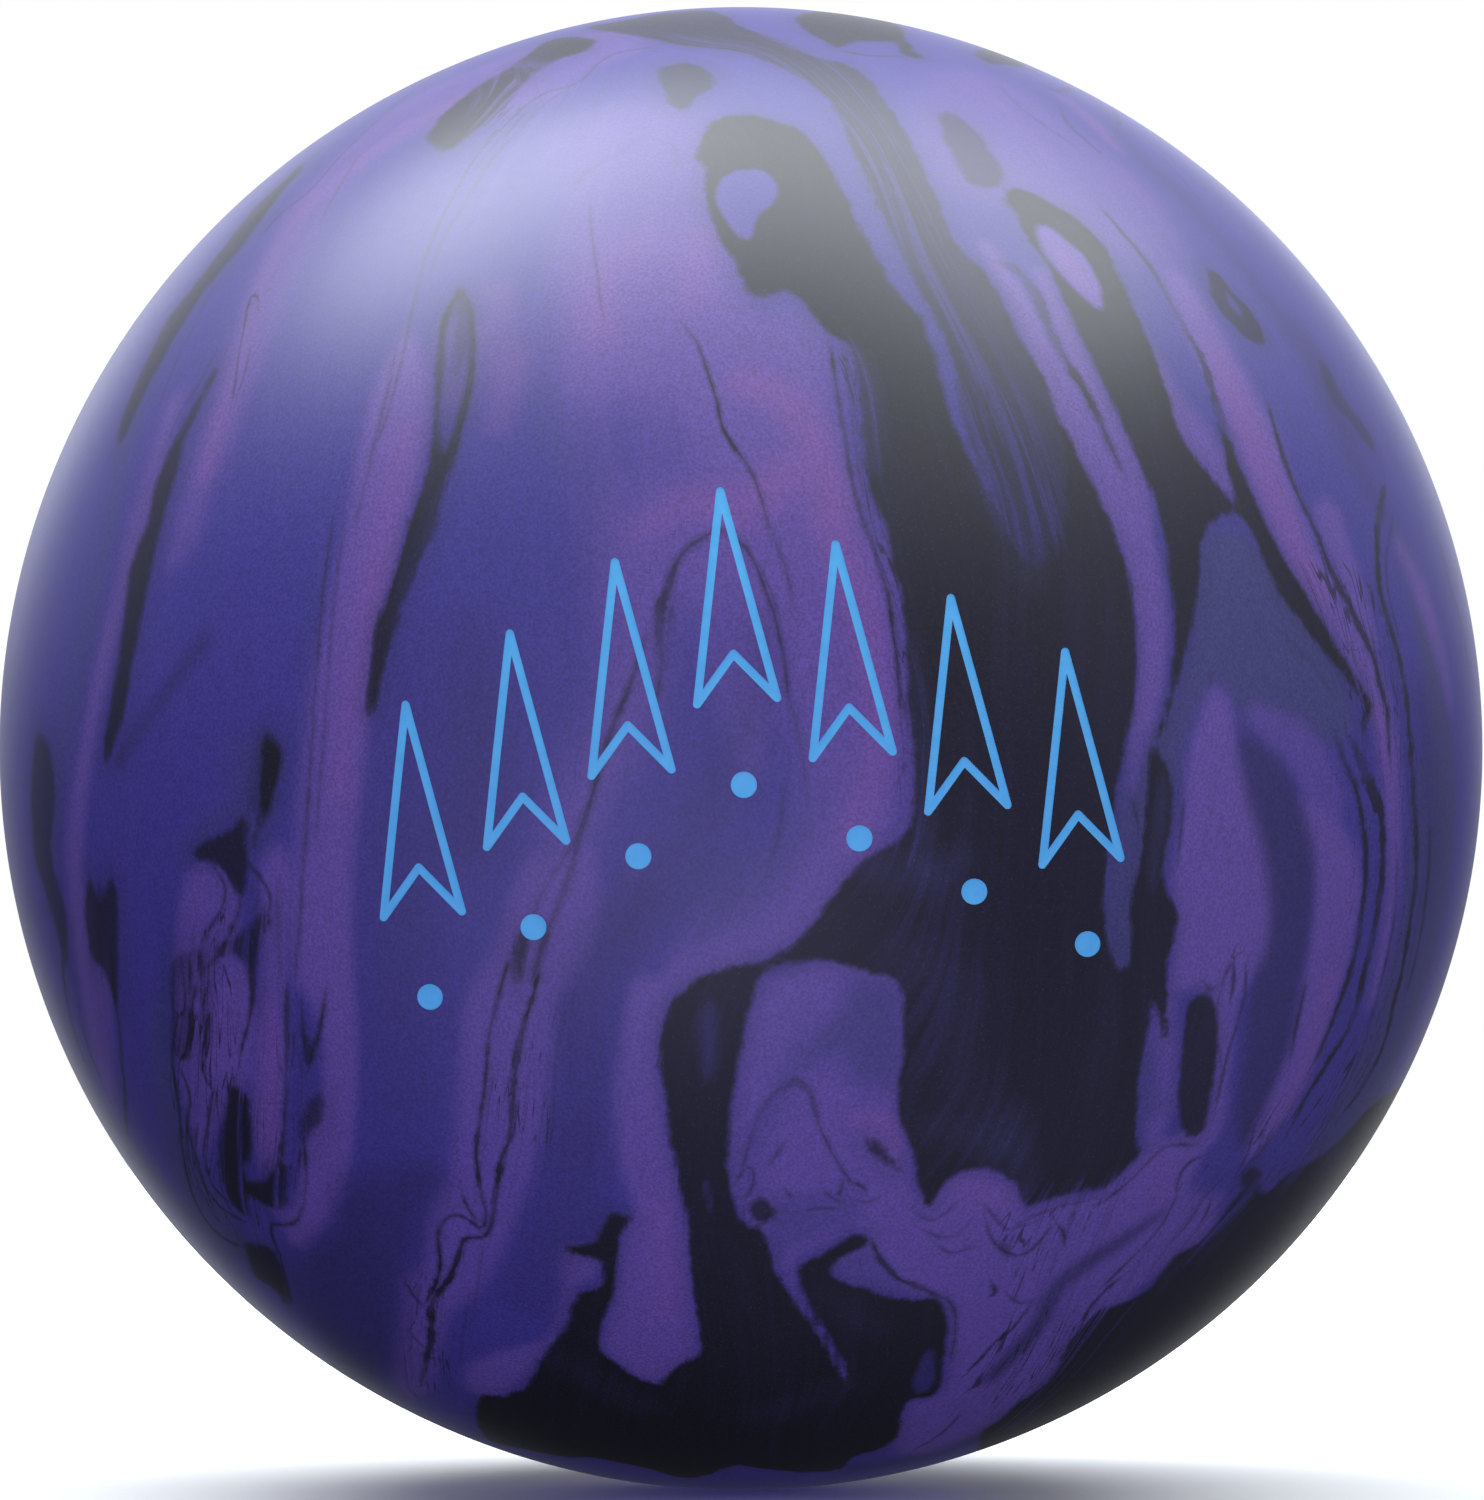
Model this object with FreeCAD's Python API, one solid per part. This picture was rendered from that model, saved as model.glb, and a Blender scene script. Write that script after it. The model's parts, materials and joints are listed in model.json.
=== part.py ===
"""Undrilled bowling ball, cast in three layers round a weight block.

Row frame, in millimetres: the origin is the centre of the ball.
  +Z runs along the weight block's axis and out through the locator pin,
  -Y is the side that carries the engraved graphic,
  +X is to the right of somebody who looks at the graphic with the pin up.

From the outside in, the ball is a cast coverstock shell, a spherical outer
core of filler, and a dense weight block inside the filler. The locator pin is
the dowel that held the core in the moulds: it stands in a socket in the top of
the weight block, and its end was turned flush with the coverstock. Grooves are
engraved in the coverstock and filled with ink: seven lane arrows and seven
guide dots on the front, and a small ring on the back of the ball, which marks
the side that the centre of gravity lies towards.
"""

import math
import os

import FreeCAD
import Part

V = FreeCAD.Vector

# ---- driving dimensions, mm -------------------------------------------------
BALL_D = 217.2            # 8.55 in, the middle of the 8.500 to 8.595 in rule
COVER_T = 20.3            # coverstock thickness, 0.8 in
PIN_D = 12.7              # locator pin, 1/2 in dowel
PIN_SOCKET = 9.0          # how far the pin stands in the weight block

BLOCK_TOP = 56.0          # weight block, heights from the ball's centre
BLOCK_BOTTOM = -52.0
BLOCK_R = 46.0            # largest radius, at the lower bulb
BLOCK_NECK_R = 31.0       # radius of the neck under the crown
FLUTE_R = 24.0            # the four flutes cast in the bulb
FLUTE_AT = 59.0           # distance of a flute's axis from the block's axis

GROOVE_DEPTH = 0.9        # engraving depth under the ball's surface
INK_SUNK = 0.12           # the dried ink lies this far under the surface
STROKE = 1.15             # width of an engraved line

ARROWS = 7                # lane arrows in a chevron, and a dot under each
ARROW_PITCH = 15.2        # spacing along the row
ARROW_STEP = 8.6          # drop of each arrow from its inner neighbour
ARROW_W = 11.0            # centreline width and height of an arrow outline
ARROW_H = 29.0
ARROW_NOTCH = 6.5         # depth of the notch in an arrow's tail
ARROW_TOP = 35.5          # tip of the middle arrow above the ball's centre
DOT_D = 3.6
DOT_GAP = 11.5            # from an arrow's tail corners down to its dot
GRAPHIC_TILT = 4.6        # degrees, anticlockwise as seen from the front

MARK_ARC = 76.0           # centre-of-gravity ring: arc length from the pin
MARK_OD = 7.0
MARK_STROKE = 1.0

R = BALL_D / 2
CORE_R = R - COVER_T


def ball(radius):
    """A sphere whose poles lie on X and whose seam crosses -Z, clear of the engraving and the pin."""
    s = Part.makeSphere(radius, V(0, 0, 0), V(1, 0, 0), -90, 90, 360)
    seam = s.Faces[0].Surface.value(0.0, 0.0)      # where the seam crosses the YZ plane
    turn = math.degrees(math.atan2(seam.z, seam.y))
    s.rotate(V(0, 0, 0), V(1, 0, 0), -90.0 - turn)
    return s


def solids(shape):
    """The shape's solids as one clean compound, or the solid itself if there is one."""
    found = list(shape.Solids)
    return found[0] if len(found) == 1 else Part.makeCompound(found)


# ---- engraved graphic: flat outlines that are projected on the ball along Y ----
def polygon(points):
    return Part.makePolygon([V(x, 0, z) for x, z in points + points[:1]])


def stroke_ring(points, width):
    """The band of the given width along a closed outline, with round outer corners."""
    wire = polygon(points)
    outer = wire.makeOffset2D(width / 2, 0, False, False, False)
    inner = wire.makeOffset2D(-width / 2, 0, False, False, False)
    if abs(Part.Face(outer).Area) < abs(Part.Face(inner).Area):
        outer, inner = inner, outer
    return Part.Face(outer).cut(Part.Face(inner))


def disc(x, z, d):
    return Part.Face(Part.Wire(Part.makeCircle(d / 2, V(x, 0, z), V(0, 1, 0))))


def arrow_faces():
    faces, half = [], (ARROWS - 1) // 2
    for i in range(-half, half + 1):
        x, tip = ARROW_PITCH * i, ARROW_TOP - ARROW_STEP * abs(i)
        faces.append(
            stroke_ring(
                [
                    (x, tip),
                    (x + ARROW_W / 2, tip - ARROW_H),
                    (x, tip - ARROW_H + ARROW_NOTCH),
                    (x - ARROW_W / 2, tip - ARROW_H),
                ],
                STROKE,
            )
        )
    return faces


def dot_faces():
    half = (ARROWS - 1) // 2
    return [
        disc(ARROW_PITCH * i, ARROW_TOP - ARROW_STEP * abs(i) - ARROW_H - DOT_GAP, DOT_D)
        for i in range(-half, half + 1)
    ]


def front_prism(face):
    """The face carried along Y through the front of the ball, then tilted."""
    f = face.copy()
    f.translate(V(0, -R - 10, 0))
    p = f.extrude(V(0, 60, 0))
    p.rotate(V(0, 0, 0), V(0, -1, 0), GRAPHIC_TILT)
    return p


def mark_prism():
    """The ring of the centre-of-gravity mark, square to the surface behind the pin."""
    ring = Part.makeCylinder(MARK_OD / 2, 20, V(0, 0, R - 10)).cut(
        Part.makeCylinder(MARK_OD / 2 - MARK_STROKE, 20, V(0, 0, R - 10))
    )
    ring.rotate(V(0, 0, 0), V(1, 0, 0), -math.degrees(MARK_ARC / R))
    return ring


def grooves_and_ink(prisms):
    """Groove tools that run out of the ball, and the ink that lies in each groove."""
    floor, level = ball(R - GROOVE_DEPTH), ball(R - INK_SUNK)
    tools = [p.cut(floor) for p in prisms]
    return [solids(t) for t in tools], [solids(t.common(level)) for t in tools]


# ---- weight block -----------------------------------------------------------
def weight_block():
    def p(r, z):
        return V(r, 0, z)

    edges = [
        Part.LineSegment(p(0, BLOCK_BOTTOM), p(22, BLOCK_BOTTOM)),
        Part.Arc(p(22, BLOCK_BOTTOM), p(39.5, -43.0), p(BLOCK_R, -24)),
        Part.LineSegment(p(BLOCK_R, -24), p(BLOCK_R, -4)),
        Part.Arc(p(BLOCK_R, -4), p(41.0, 12.5), p(BLOCK_NECK_R, 23)),
        Part.LineSegment(p(BLOCK_NECK_R, 23), p(BLOCK_NECK_R, 34)),
        Part.Arc(p(BLOCK_NECK_R, 34), p(28.4, 47.5), p(19, BLOCK_TOP)),
        Part.LineSegment(p(19, BLOCK_TOP), p(0, BLOCK_TOP)),
        Part.LineSegment(p(0, BLOCK_TOP), p(0, BLOCK_BOTTOM)),
    ]
    face = Part.Face(Part.Wire([e.toShape() for e in edges]))
    block = face.revolve(V(0, 0, 0), V(0, 0, 1), 360)
    if block.ShapeType != "Solid":
        block = Part.Solid(block.Shells[0])
    for k in range(4):
        a = math.radians(45 + 90 * k)
        block = block.cut(
            Part.makeCylinder(
                FLUTE_R, 200, V(FLUTE_AT * math.cos(a), FLUTE_AT * math.sin(a), -100)
            )
        )
    return block


def main():
    os.makedirs("parts", exist_ok=True)

    block_full = solids(weight_block())
    pin_hole = Part.makeCylinder(PIN_D / 2, 200, V(0, 0, BLOCK_TOP - PIN_SOCKET))
    block = solids(block_full.cut(pin_hole))

    pin = solids(pin_hole.common(ball(R)))

    outer_core = solids(ball(CORE_R).cut(block_full).cut(pin_hole))

    arrow_tools, arrow_ink = grooves_and_ink([front_prism(f) for f in arrow_faces()])
    dot_tools, dot_ink = grooves_and_ink([front_prism(f) for f in dot_faces()])
    mark_tools, mark_ink = grooves_and_ink([mark_prism()])

    cover = ball(R).cut(ball(CORE_R)).cut(pin_hole)
    for tool in arrow_tools + dot_tools + mark_tools:
        cover = cover.cut(tool)
    cover = solids(cover)

    parts = {
        "coverstock_shell": cover,
        "outer_core": outer_core,
        "weight_block": block,
        "locator_pin": pin,
        "arrow_graphic_ink": Part.makeCompound(arrow_ink),
        "dot_graphic_ink": Part.makeCompound(dot_ink),
        "balance_mark_ink": solids(Part.makeCompound(mark_ink)),
    }
    for name, shape in parts.items():
        shape.exportStep("parts/" + name + ".step")
        print(
            name,
            "solids", len(shape.Solids),
            "valid", shape.isValid(),
            "cm3", round(sum(s.Volume for s in shape.Solids) / 1000.0, 3),
            "box", [round(v, 2) for v in (shape.BoundBox.XLength, shape.BoundBox.YLength, shape.BoundBox.ZLength)],
        )


main()
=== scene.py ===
"""Looks of an undrilled bowling ball with a marbled, sanded coverstock.

The coverstock is a dense shell built here, with the engraved grooves cut in it. Its marbling is drawn as pours: filled
shapes, bands and veins laid out on the front view of the ball, and curl-like noise on the back. They are turned
into distances on the shell's own points, and the material's nodes turn those into pigment, feathered by noise.
"""

import json
import math

import bmesh
import bpy
import numpy as np
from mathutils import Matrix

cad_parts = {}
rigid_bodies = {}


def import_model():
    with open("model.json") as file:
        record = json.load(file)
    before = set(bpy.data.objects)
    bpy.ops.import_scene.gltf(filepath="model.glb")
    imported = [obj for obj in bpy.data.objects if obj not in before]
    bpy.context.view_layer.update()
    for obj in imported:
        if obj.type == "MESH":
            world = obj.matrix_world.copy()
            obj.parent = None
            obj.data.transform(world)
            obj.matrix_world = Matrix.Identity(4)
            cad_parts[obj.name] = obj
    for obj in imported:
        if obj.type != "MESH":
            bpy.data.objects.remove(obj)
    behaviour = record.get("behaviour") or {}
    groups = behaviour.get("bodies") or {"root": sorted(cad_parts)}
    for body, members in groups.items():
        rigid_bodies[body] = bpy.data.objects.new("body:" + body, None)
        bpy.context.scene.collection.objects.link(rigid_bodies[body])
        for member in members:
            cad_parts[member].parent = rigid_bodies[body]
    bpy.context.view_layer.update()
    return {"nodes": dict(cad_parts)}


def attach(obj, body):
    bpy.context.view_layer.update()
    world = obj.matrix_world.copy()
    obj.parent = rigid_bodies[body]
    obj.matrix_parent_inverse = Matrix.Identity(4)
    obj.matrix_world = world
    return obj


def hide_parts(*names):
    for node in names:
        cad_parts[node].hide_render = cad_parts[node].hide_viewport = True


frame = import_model()
scene = bpy.context.scene

MM = 0.001
R = 108.6               # ball radius, mm
CORE_R = 88.3           # inside of the coverstock
PIN_R = 6.35
GROOVE_DEPTH = 0.9
INK_SUNK = 0.12
STROKE = 1.15
BODY = "root"

# ---- the front view that the pours are drawn on: 1484 x 1500, eye level ------------------------
VIEW_D = 1600.0                       # mm from the eye to the ball's centre
VIEW_CX, VIEW_CY, VIEW_R = 741.0, 748.5, 741.5
VIEW_STRETCH = 741.5 / 747.5          # the drawing is very slightly taller than wide
VIEW_F = VIEW_R / math.tan(math.asin(R / VIEW_D))
LIMB = math.acos(R / VIEW_D)


def flat(theta, phi):
    """Angles from the front of the ball to the drawing plane (stereographic, mm)."""
    p = 2 * R * np.tan(theta / 2)
    return np.stack([p * np.cos(phi), p * np.sin(phi)], -1)


def from_view(points):
    """Front-view points to the drawing plane. Points past the silhouette go on round the side."""
    q = np.asarray(points, float)
    dx, dy = q[:, 0] - VIEW_CX, -(q[:, 1] - VIEW_CY) * VIEW_STRETCH
    r = np.hypot(dx, dy)
    a = np.arctan(np.minimum(r, VIEW_R) / VIEW_F)
    inside = np.arcsin(np.clip(VIEW_D * np.sin(a) / R, -1, 1)) - a
    theta = np.where(r < VIEW_R, inside, LIMB + np.radians((r - VIEW_R) * 0.22))
    return flat(np.minimum(theta, math.radians(150)), np.arctan2(dy, dx))


def smooth(points, closed, step=2.2, extra=None):
    """A Catmull-Rom curve through the points, sampled about every step mm. extra is carried along."""
    p = np.asarray(points, float)
    e = None if extra is None else np.asarray(extra, float).reshape(len(p), -1)
    n = len(p)
    out, oute = [], []
    for i in range(n if closed else n - 1):
        if closed:
            k = [(i - 1) % n, i, (i + 1) % n, (i + 2) % n]
        else:
            k = [max(i - 1, 0), i, i + 1, min(i + 2, n - 1)]
        a, b, c, d = p[k]
        m = max(2, int(math.ceil(np.hypot(*(c - b)) / step)))
        t = (np.arange(m) / m)[:, None]
        out.append(
            0.5 * (2 * b + (c - a) * t + (2 * a - 5 * b + 4 * c - d) * t**2 + (3 * b - a - 3 * c + d) * t**3)
        )
        if e is not None:
            oute.append(e[k[1]] * (1 - t) + e[k[2]] * t)
    if not closed:
        out.append(p[-1:])
        if e is not None:
            oute.append(e[-1:])
    out = np.concatenate(out)
    return out if e is None else (out, np.concatenate(oute))


def nearest(P, A, B):
    """For points P and segments A-B: distance, segment number, place along it, and which side (+ is left)."""
    n = len(P)
    dist, seg, at, side = np.empty(n), np.empty(n, int), np.empty(n), np.empty(n)
    D = B - A
    L2 = np.maximum((D**2).sum(1), 1e-12)
    for s in range(0, n, 4000):
        q = P[s : s + 4000]
        w = q[:, None, :] - A[None]
        t = np.clip((w * D[None]).sum(2) / L2[None], 0, 1)
        v = w - t[..., None] * D[None]
        d2 = (v**2).sum(2)
        k = d2.argmin(1)
        r = np.arange(len(q))
        dist[s : s + 4000] = np.sqrt(d2[r, k])
        seg[s : s + 4000] = k
        at[s : s + 4000] = t[r, k]
        cr = D[k, 0] * w[r, k, 1] - D[k, 1] * w[r, k, 0]
        side[s : s + 4000] = np.where(cr >= 0, 1.0, -1.0)
    return dist, seg, at, side


def inside(P, C):
    """Even-odd test of points P in the closed curve C."""
    x, y = P[:, 0], P[:, 1]
    res = np.zeros(len(P), bool)
    x1, y1 = C[:, 0], C[:, 1]
    x2, y2 = np.roll(x1, -1), np.roll(y1, -1)
    for a, b, c, d in zip(x1, y1, x2, y2):
        if b == d:
            continue
        hit = ((b > y) != (d > y)) & (x < (c - a) * (y - b) / (d - b) + a)
        res ^= hit
    return res


def ramp(x, lo, hi):
    t = np.clip((x - lo) / (hi - lo), 0, 1)
    return t * t * (3 - 2 * t)


# ---- pours, in front-view points ----------------------------------------------------------------
# A band or a vein is (x, y, width) along its middle line; a shape is a closed outline.
# BASE: (pigment, softness, strength, "band" or "shape", points), laid over one another in this order.
# Pigments: V violet, P pink violet, S slate, D deep indigo, I plain indigo (takes the others away).
BASE = [
    # right-hand slate field and its violet tongue
    ("S", 16, 0.95, "shape", [(1200, 545), (1240, 530), (1290, 590), (1335, 660), (1352, 720), (1335, 745), (1290, 735), (1250, 720), (1215, 690), (1196, 720), (1182, 770), (1172, 830), (1150, 900), (1140, 960), (1108, 1000), (1100, 930), (1112, 860), (1122, 800), (1150, 740), (1176, 690), (1192, 630)]),
    ("S", 14, 0.80, "shape", [(1418, 760), (1450, 780), (1446, 880), (1425, 980), (1394, 1070), (1350, 1150), (1306, 1164), (1345, 1085), (1380, 1000), (1400, 900)]),
    ("V", 12, 0.55, "shape", [(1252, 705), (1300, 722), (1330, 760), (1345, 800), (1330, 830), (1290, 770), (1262, 740)]),
    ("D", 14, 0.9, "shape", [(1240, 735), (1275, 755), (1300, 800), (1315, 860), (1312, 930), (1300, 990), (1290, 1050), (1270, 1100), (1245, 1150), (1235, 1120), (1243, 1050), (1250, 990), (1268, 930), (1262, 850), (1245, 790)]),
    ("V", 10, 1.0, "shape", [(1212, 688), (1228, 700), (1240, 760), (1256, 805), (1270, 850), (1276, 900), (1270, 960), (1240, 1000), (1232, 1060), (1222, 1130), (1200, 1160), (1180, 1190), (1120, 1215), (1060, 1220), (1100, 1200), (1165, 1145), (1205, 1120), (1214, 1050), (1205, 995), (1172, 990), (1176, 930), (1172, 880), (1182, 820), (1186, 770), (1196, 730)]),
    ("V", 12, 1.0, "shape", [(1300, 800), (1345, 830), (1362, 880), (1352, 950), (1335, 1010), (1310, 1080), (1280, 1130), (1250, 1160), (1250, 1130), (1275, 1080), (1295, 1020), (1308, 940), (1312, 870)]),
    ("P", 14, 0.30, "band", [(1330, 985, 30), (1312, 1050, 30), (1285, 1110, 26)]),
    # the right side, from the top down
    ("V", 14, 0.85, "band", [(1100, 285, 10), (1135, 340, 34), (1170, 400, 46), (1200, 440, 44), (1225, 480, 30)]),
    ("V", 16, 1.0, "band", [(1180, 280, 40), (1210, 340, 60), (1250, 420, 70), (1275, 490, 66), (1305, 560, 52), (1345, 630, 44), (1375, 690, 40), (1390, 760, 42), (1395, 850, 34), (1388, 930, 30), (1372, 1000, 22)]),
    ("P", 16, 0.50, "band", [(1215, 350, 24), (1250, 430, 46), (1285, 520, 42), (1320, 590, 26)]),
    ("P", 12, 0.30, "band", [(1376, 700, 12), (1386, 760, 20), (1390, 820, 10)]),
    ("V", 12, 0.8, "band", [(1330, 520, 50), (1352, 580, 34), (1372, 640, 22)]),
    ("I", 16, 0.9, "band", [(1210, 220, 60), (1280, 310, 80), (1330, 400, 70), (1360, 470, 56), (1366, 520, 20)]),
    ("D", 24, 0.45, "band", [(1300, 330, 40), (1330, 400, 50), (1356, 460, 44), (1385, 510, 30)]),
    ("S", 20, 0.95, "band", [(1400, 540, 30), (1425, 620, 56), (1440, 720, 74), (1445, 820, 76), (1436, 920, 66), (1415, 1000, 50), (1380, 1080, 44), (1350, 1130, 30)]),
    ("V", 16, 0.75, "band", [(1400, 545, 20), (1420, 590, 40), (1440, 650, 36), (1450, 700, 20)]),
    ("D", 30, 0.40, "band", [(1420, 700, 44), (1432, 800, 54), (1428, 900, 40)]),
    # the violet stripe right of the big dark pour
    ("V", 8, 1.0, "band", [(985, 242, 16), (1022, 300, 26), (1052, 370, 34), (1085, 440, 42), (1118, 495, 52), (1140, 550, 42), (1151, 610, 40), (1153, 660, 34), (1146, 710, 30), (1138, 750, 20), (1132, 790, 10)]),
    ("V", 8, 1.0, "band", [(1040, 268, 14), (1062, 320, 22), (1085, 375, 26), (1112, 430, 30), (1135, 480, 30), (1145, 520, 20)]),
    ("V", 8, 1.0, "shape", [(1036, 222), (1049, 222), (1065, 235), (1084, 252), (1101, 281), (1103, 310), (1090, 302), (1073, 284), (1056, 265), (1043, 245)]),
    ("P", 10, 0.45, "band", [(1060, 250, 10), (1085, 280, 14)]),
    ("S", 18, 0.7, "band", [(1150, 745, 14), (1128, 820, 26), (1120, 880, 32), (1116, 940, 26), (1112, 985, 14)]),
    # top: the head of the ball, violet at its shoulders
    ("V", 22, 0.6, "shape", [(340, 150), (400, 100), (470, 66), (560, 34), (640, 24), (640, 44), (590, 66), (560, 90), (500, 110), (440, 128), (400, 140), (350, 180), (320, 230), (285, 300), (262, 360), (238, 420), (215, 480), (196, 540), (170, 560), (190, 470), (216, 390), (240, 310), (262, 250), (292, 200)]),
    ("P", 18, 0.40, "band", [(520, 70, 20), (440, 104, 30), (375, 145, 30), (300, 210, 26), (262, 280, 22), (244, 340, 20), (222, 410, 24), (205, 470, 20)]),
    ("V", 18, 0.8, "band", [(175, 400, 30), (160, 450, 34), (140, 520, 36), (122, 590, 34), (104, 660, 34), (90, 730, 32), (78, 800, 30), (74, 860, 34), (80, 930, 40), (90, 1000, 40), (100, 1060, 30), (112, 1110, 14)]),
    ("I", 18, 0.8, "band", [(560, 130, 20), (520, 200, 40), (490, 280, 40), (500, 350, 60), (490, 430, 60), (470, 520, 60), (440, 600, 50)]),
    ("V", 40, 0.9, "shape", [(560, 250), (600, 225), (660, 215), (700, 225), (735, 265), (760, 300), (800, 310), (832, 345), (845, 420), (858, 490), (890, 560), (905, 620), (912, 700), (915, 770), (905, 830), (870, 860), (830, 905), (780, 950), (720, 975), (680, 990), (700, 940), (760, 880), (800, 820), (800, 760), (780, 700), (760, 640), (700, 600), (670, 640), (650, 720), (600, 820), (560, 900), (545, 850), (580, 760), (610, 680), (600, 600), (590, 520), (570, 430), (555, 340)]),
    ("I", 40, 0.55, "shape", [(600, 400), (660, 400), (690, 440), (680, 480), (620, 490), (580, 480), (560, 440)]),
    ("S", 26, 0.30, "band", [(540, 380, 20), (560, 440, 40), (600, 490, 50), (590, 560, 30)]),
    ("P", 26, 0.6, "band", [(640, 240, 26), (600, 280, 34), (602, 330, 26)]),
    ("P", 24, 0.45, "band", [(700, 235, 30), (690, 290, 30)]),
    ("P", 22, 0.75, "band", [(745, 380, 24), (790, 400, 36), (820, 450, 34), (835, 500, 30)]),
    ("P", 22, 0.6, "band", [(790, 470, 44), (740, 505, 44), (690, 500, 30), (640, 530, 16)]),
    ("P", 18, 0.55, "band", [(830, 520, 40), (855, 580, 36), (872, 650, 32), (880, 720, 34), (868, 790, 34), (850, 840, 20)]),
    ("V", 20, 0.5, "band", [(700, 575, 30), (720, 640, 50), (740, 700, 50), (750, 760, 30)]),
    ("D", 26, 0.30, "band", [(765, 620, 20), (760, 680, 30), (740, 740, 40), (720, 790, 60), (690, 850, 70), (650, 900, 70), (620, 950, 50)]),
    ("V", 14, 0.95, "shape", [(880, 845), (850, 875), (825, 915), (790, 945), (730, 968), (690, 985), (668, 990), (676, 960), (720, 935), (770, 905), (800, 860), (830, 800), (880, 800)]),
    ("S", 30, 0.45, "shape", [(700, 880), (760, 850), (800, 830), (830, 800), (800, 870), (760, 920), (700, 950)]),
    # violet and pink laid over the lit top of the ball: partly the marbling's violet, partly painted highlight, the
    # lilac cast of the overhead light
    ("V", 40, 0.60, "shape", [(556, 130), (640, 96), (706, 116), (706, 200), (740, 250), (700, 300), (600, 300), (556, 240)]),
    ("V", 30, 0.55, "shape", [(936, 66), (1010, 78), (1080, 130), (1160, 200), (1180, 262), (1110, 250), (1040, 204), (960, 190), (916, 130)]),
    ("P", 14, 0.50, "band", [(1062, 92, 16), (1088, 112, 26), (1116, 142, 12)]),
    ("D", 22, 0.45, "band", [(1090, 90, 10), (1130, 140, 22), (1180, 190, 30), (1240, 260, 34), (1290, 330, 34)]),
    # left: band beside the long dark vein
    ("V", 13, 1.0, "shape", [(405, 330), (425, 360), (430, 420), (418, 480), (400, 550), (380, 620), (372, 690), (366, 760), (356, 830), (350, 900), (344, 970), (352, 1010), (354, 1070), (351, 1130), (340, 1186), (322, 1228), (300, 1250), (290, 1236), (300, 1200), (306, 1140), (326, 1090), (330, 1020), (318, 960), (296, 990), (290, 900), (296, 820), (304, 740), (312, 680), (330, 600), (345, 530), (356, 460), (372, 390)]),
    ("P", 16, 0.45, "band", [(405, 430, 20), (388, 520, 30), (365, 620, 30), (350, 700, 24), (340, 790, 22)]),
    ("S", 22, 0.35, "band", [(322, 560, 10), (312, 660, 22), (306, 760, 26), (298, 860, 22), (294, 950, 16)]),
    ("V", 20, 0.6, "band", [(448, 330, 20), (455, 400, 26), (480, 330, 20)]),
    ("P", 20, 0.35, "band", [(500, 290, 30), (510, 360, 40), (500, 420, 26)]),
    # lower left
    ("V", 12, 0.9, "shape", [(262, 860), (285, 850), (296, 900), (288, 980), (288, 1060), (284, 1130), (280, 1170), (262, 1176), (252, 1130), (252, 1080), (258, 1010), (262, 960)]),
    ("P", 14, 0.40, "band", [(272, 1010, 16), (272, 1080, 24), (268, 1150, 20)]),
    ("V", 10, 0.95, "shape", [(212, 1010), (226, 985), (240, 962), (252, 1000), (248, 1040), (238, 1080), (225, 1086), (208, 1075), (205, 1040)]),
    ("S", 22, 0.5, "shape", [(228, 740), (262, 730), (280, 760), (276, 800), (262, 850), (230, 830), (200, 850), (180, 866), (176, 850), (205, 820), (225, 790)]),
    ("S", 20, 0.5, "shape", [(190, 870), (222, 880), (226, 930), (215, 980), (180, 990), (172, 1040), (186, 1120), (200, 1180), (230, 1230), (250, 1250), (235, 1262), (200, 1226), (176, 1160), (166, 1080), (160, 1010), (174, 940)]),
    ("S", 24, 0.45, "shape", [(60, 700), (74, 640), (92, 560), (110, 480), (124, 420), (140, 400), (130, 460), (110, 560), (94, 650), (80, 730), (64, 800), (56, 860), (50, 800)]),
    ("S", 26, 0.7, "band", [(60, 1010, 30), (84, 1080, 40), (120, 1140, 60), (160, 1190, 60), (200, 1230, 50), (240, 1280, 30)]),
    ("D", 30, 0.75, "shape", [(350, 1180), (440, 1170), (430, 1230), (408, 1290), (395, 1370), (370, 1400), (310, 1330), (292, 1290), (300, 1255), (330, 1230)]),
    ("D", 40, 0.25, "band", [(400, 640, 60), (410, 760, 90), (400, 900, 90), (400, 1050, 90), (400, 1160, 80)]),
    ("D", 30, 0.4, "band", [(470, 640, 60), (480, 740, 70), (470, 830, 70)]),
    ("D", 26, 0.45, "band", [(640, 905, 40), (600, 960, 50), (585, 1050, 60), (580, 1130, 60), (560, 1220, 80), (530, 1300, 70)]),
    ("V", 10, 0.95, "shape", [(300, 870), (340, 850), (352, 960), (356, 1060), (352, 1140), (340, 1190), (320, 1232), (298, 1250), (288, 1236), (300, 1190), (320, 1130), (322, 1040), (302, 980)]),
    ("V", 10, 0.75, "shape", [(186, 880), (222, 868), (242, 900), (236, 960), (254, 984), (254, 1060), (240, 1104), (220, 1124), (202, 1160), (190, 1120), (178, 1060), (174, 980)]),
    ("S", 16, 0.75, "shape", [(172, 1060), (186, 1130), (206, 1180), (236, 1226), (262, 1262), (244, 1268), (212, 1240), (184, 1200), (160, 1130), (152, 1060), (160, 1000)]),
    ("V", 12, 0.70, "band", [(262, 1190, 14), (290, 1225, 30), (310, 1215, 30), (332, 1180, 20)]),
    ("V", 14, 0.60, "band", [(84, 900, 24), (100, 960, 30), (104, 1030, 30), (112, 1090, 20)]),
    # bottom: bands either side of the veins
    ("V", 12, 0.8, "shape", [(555, 860), (590, 850), (600, 900), (585, 960), (560, 1000), (556, 1055), (548, 1105), (538, 1155), (528, 1195), (510, 1240), (490, 1280), (474, 1302), (450, 1320), (440, 1352), (428, 1396), (400, 1400), (394, 1370), (400, 1316), (404, 1284), (422, 1266), (428, 1218), (446, 1184), (455, 1120), (460, 1060), (468, 1000), (490, 960), (510, 900), (530, 860)]),
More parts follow.
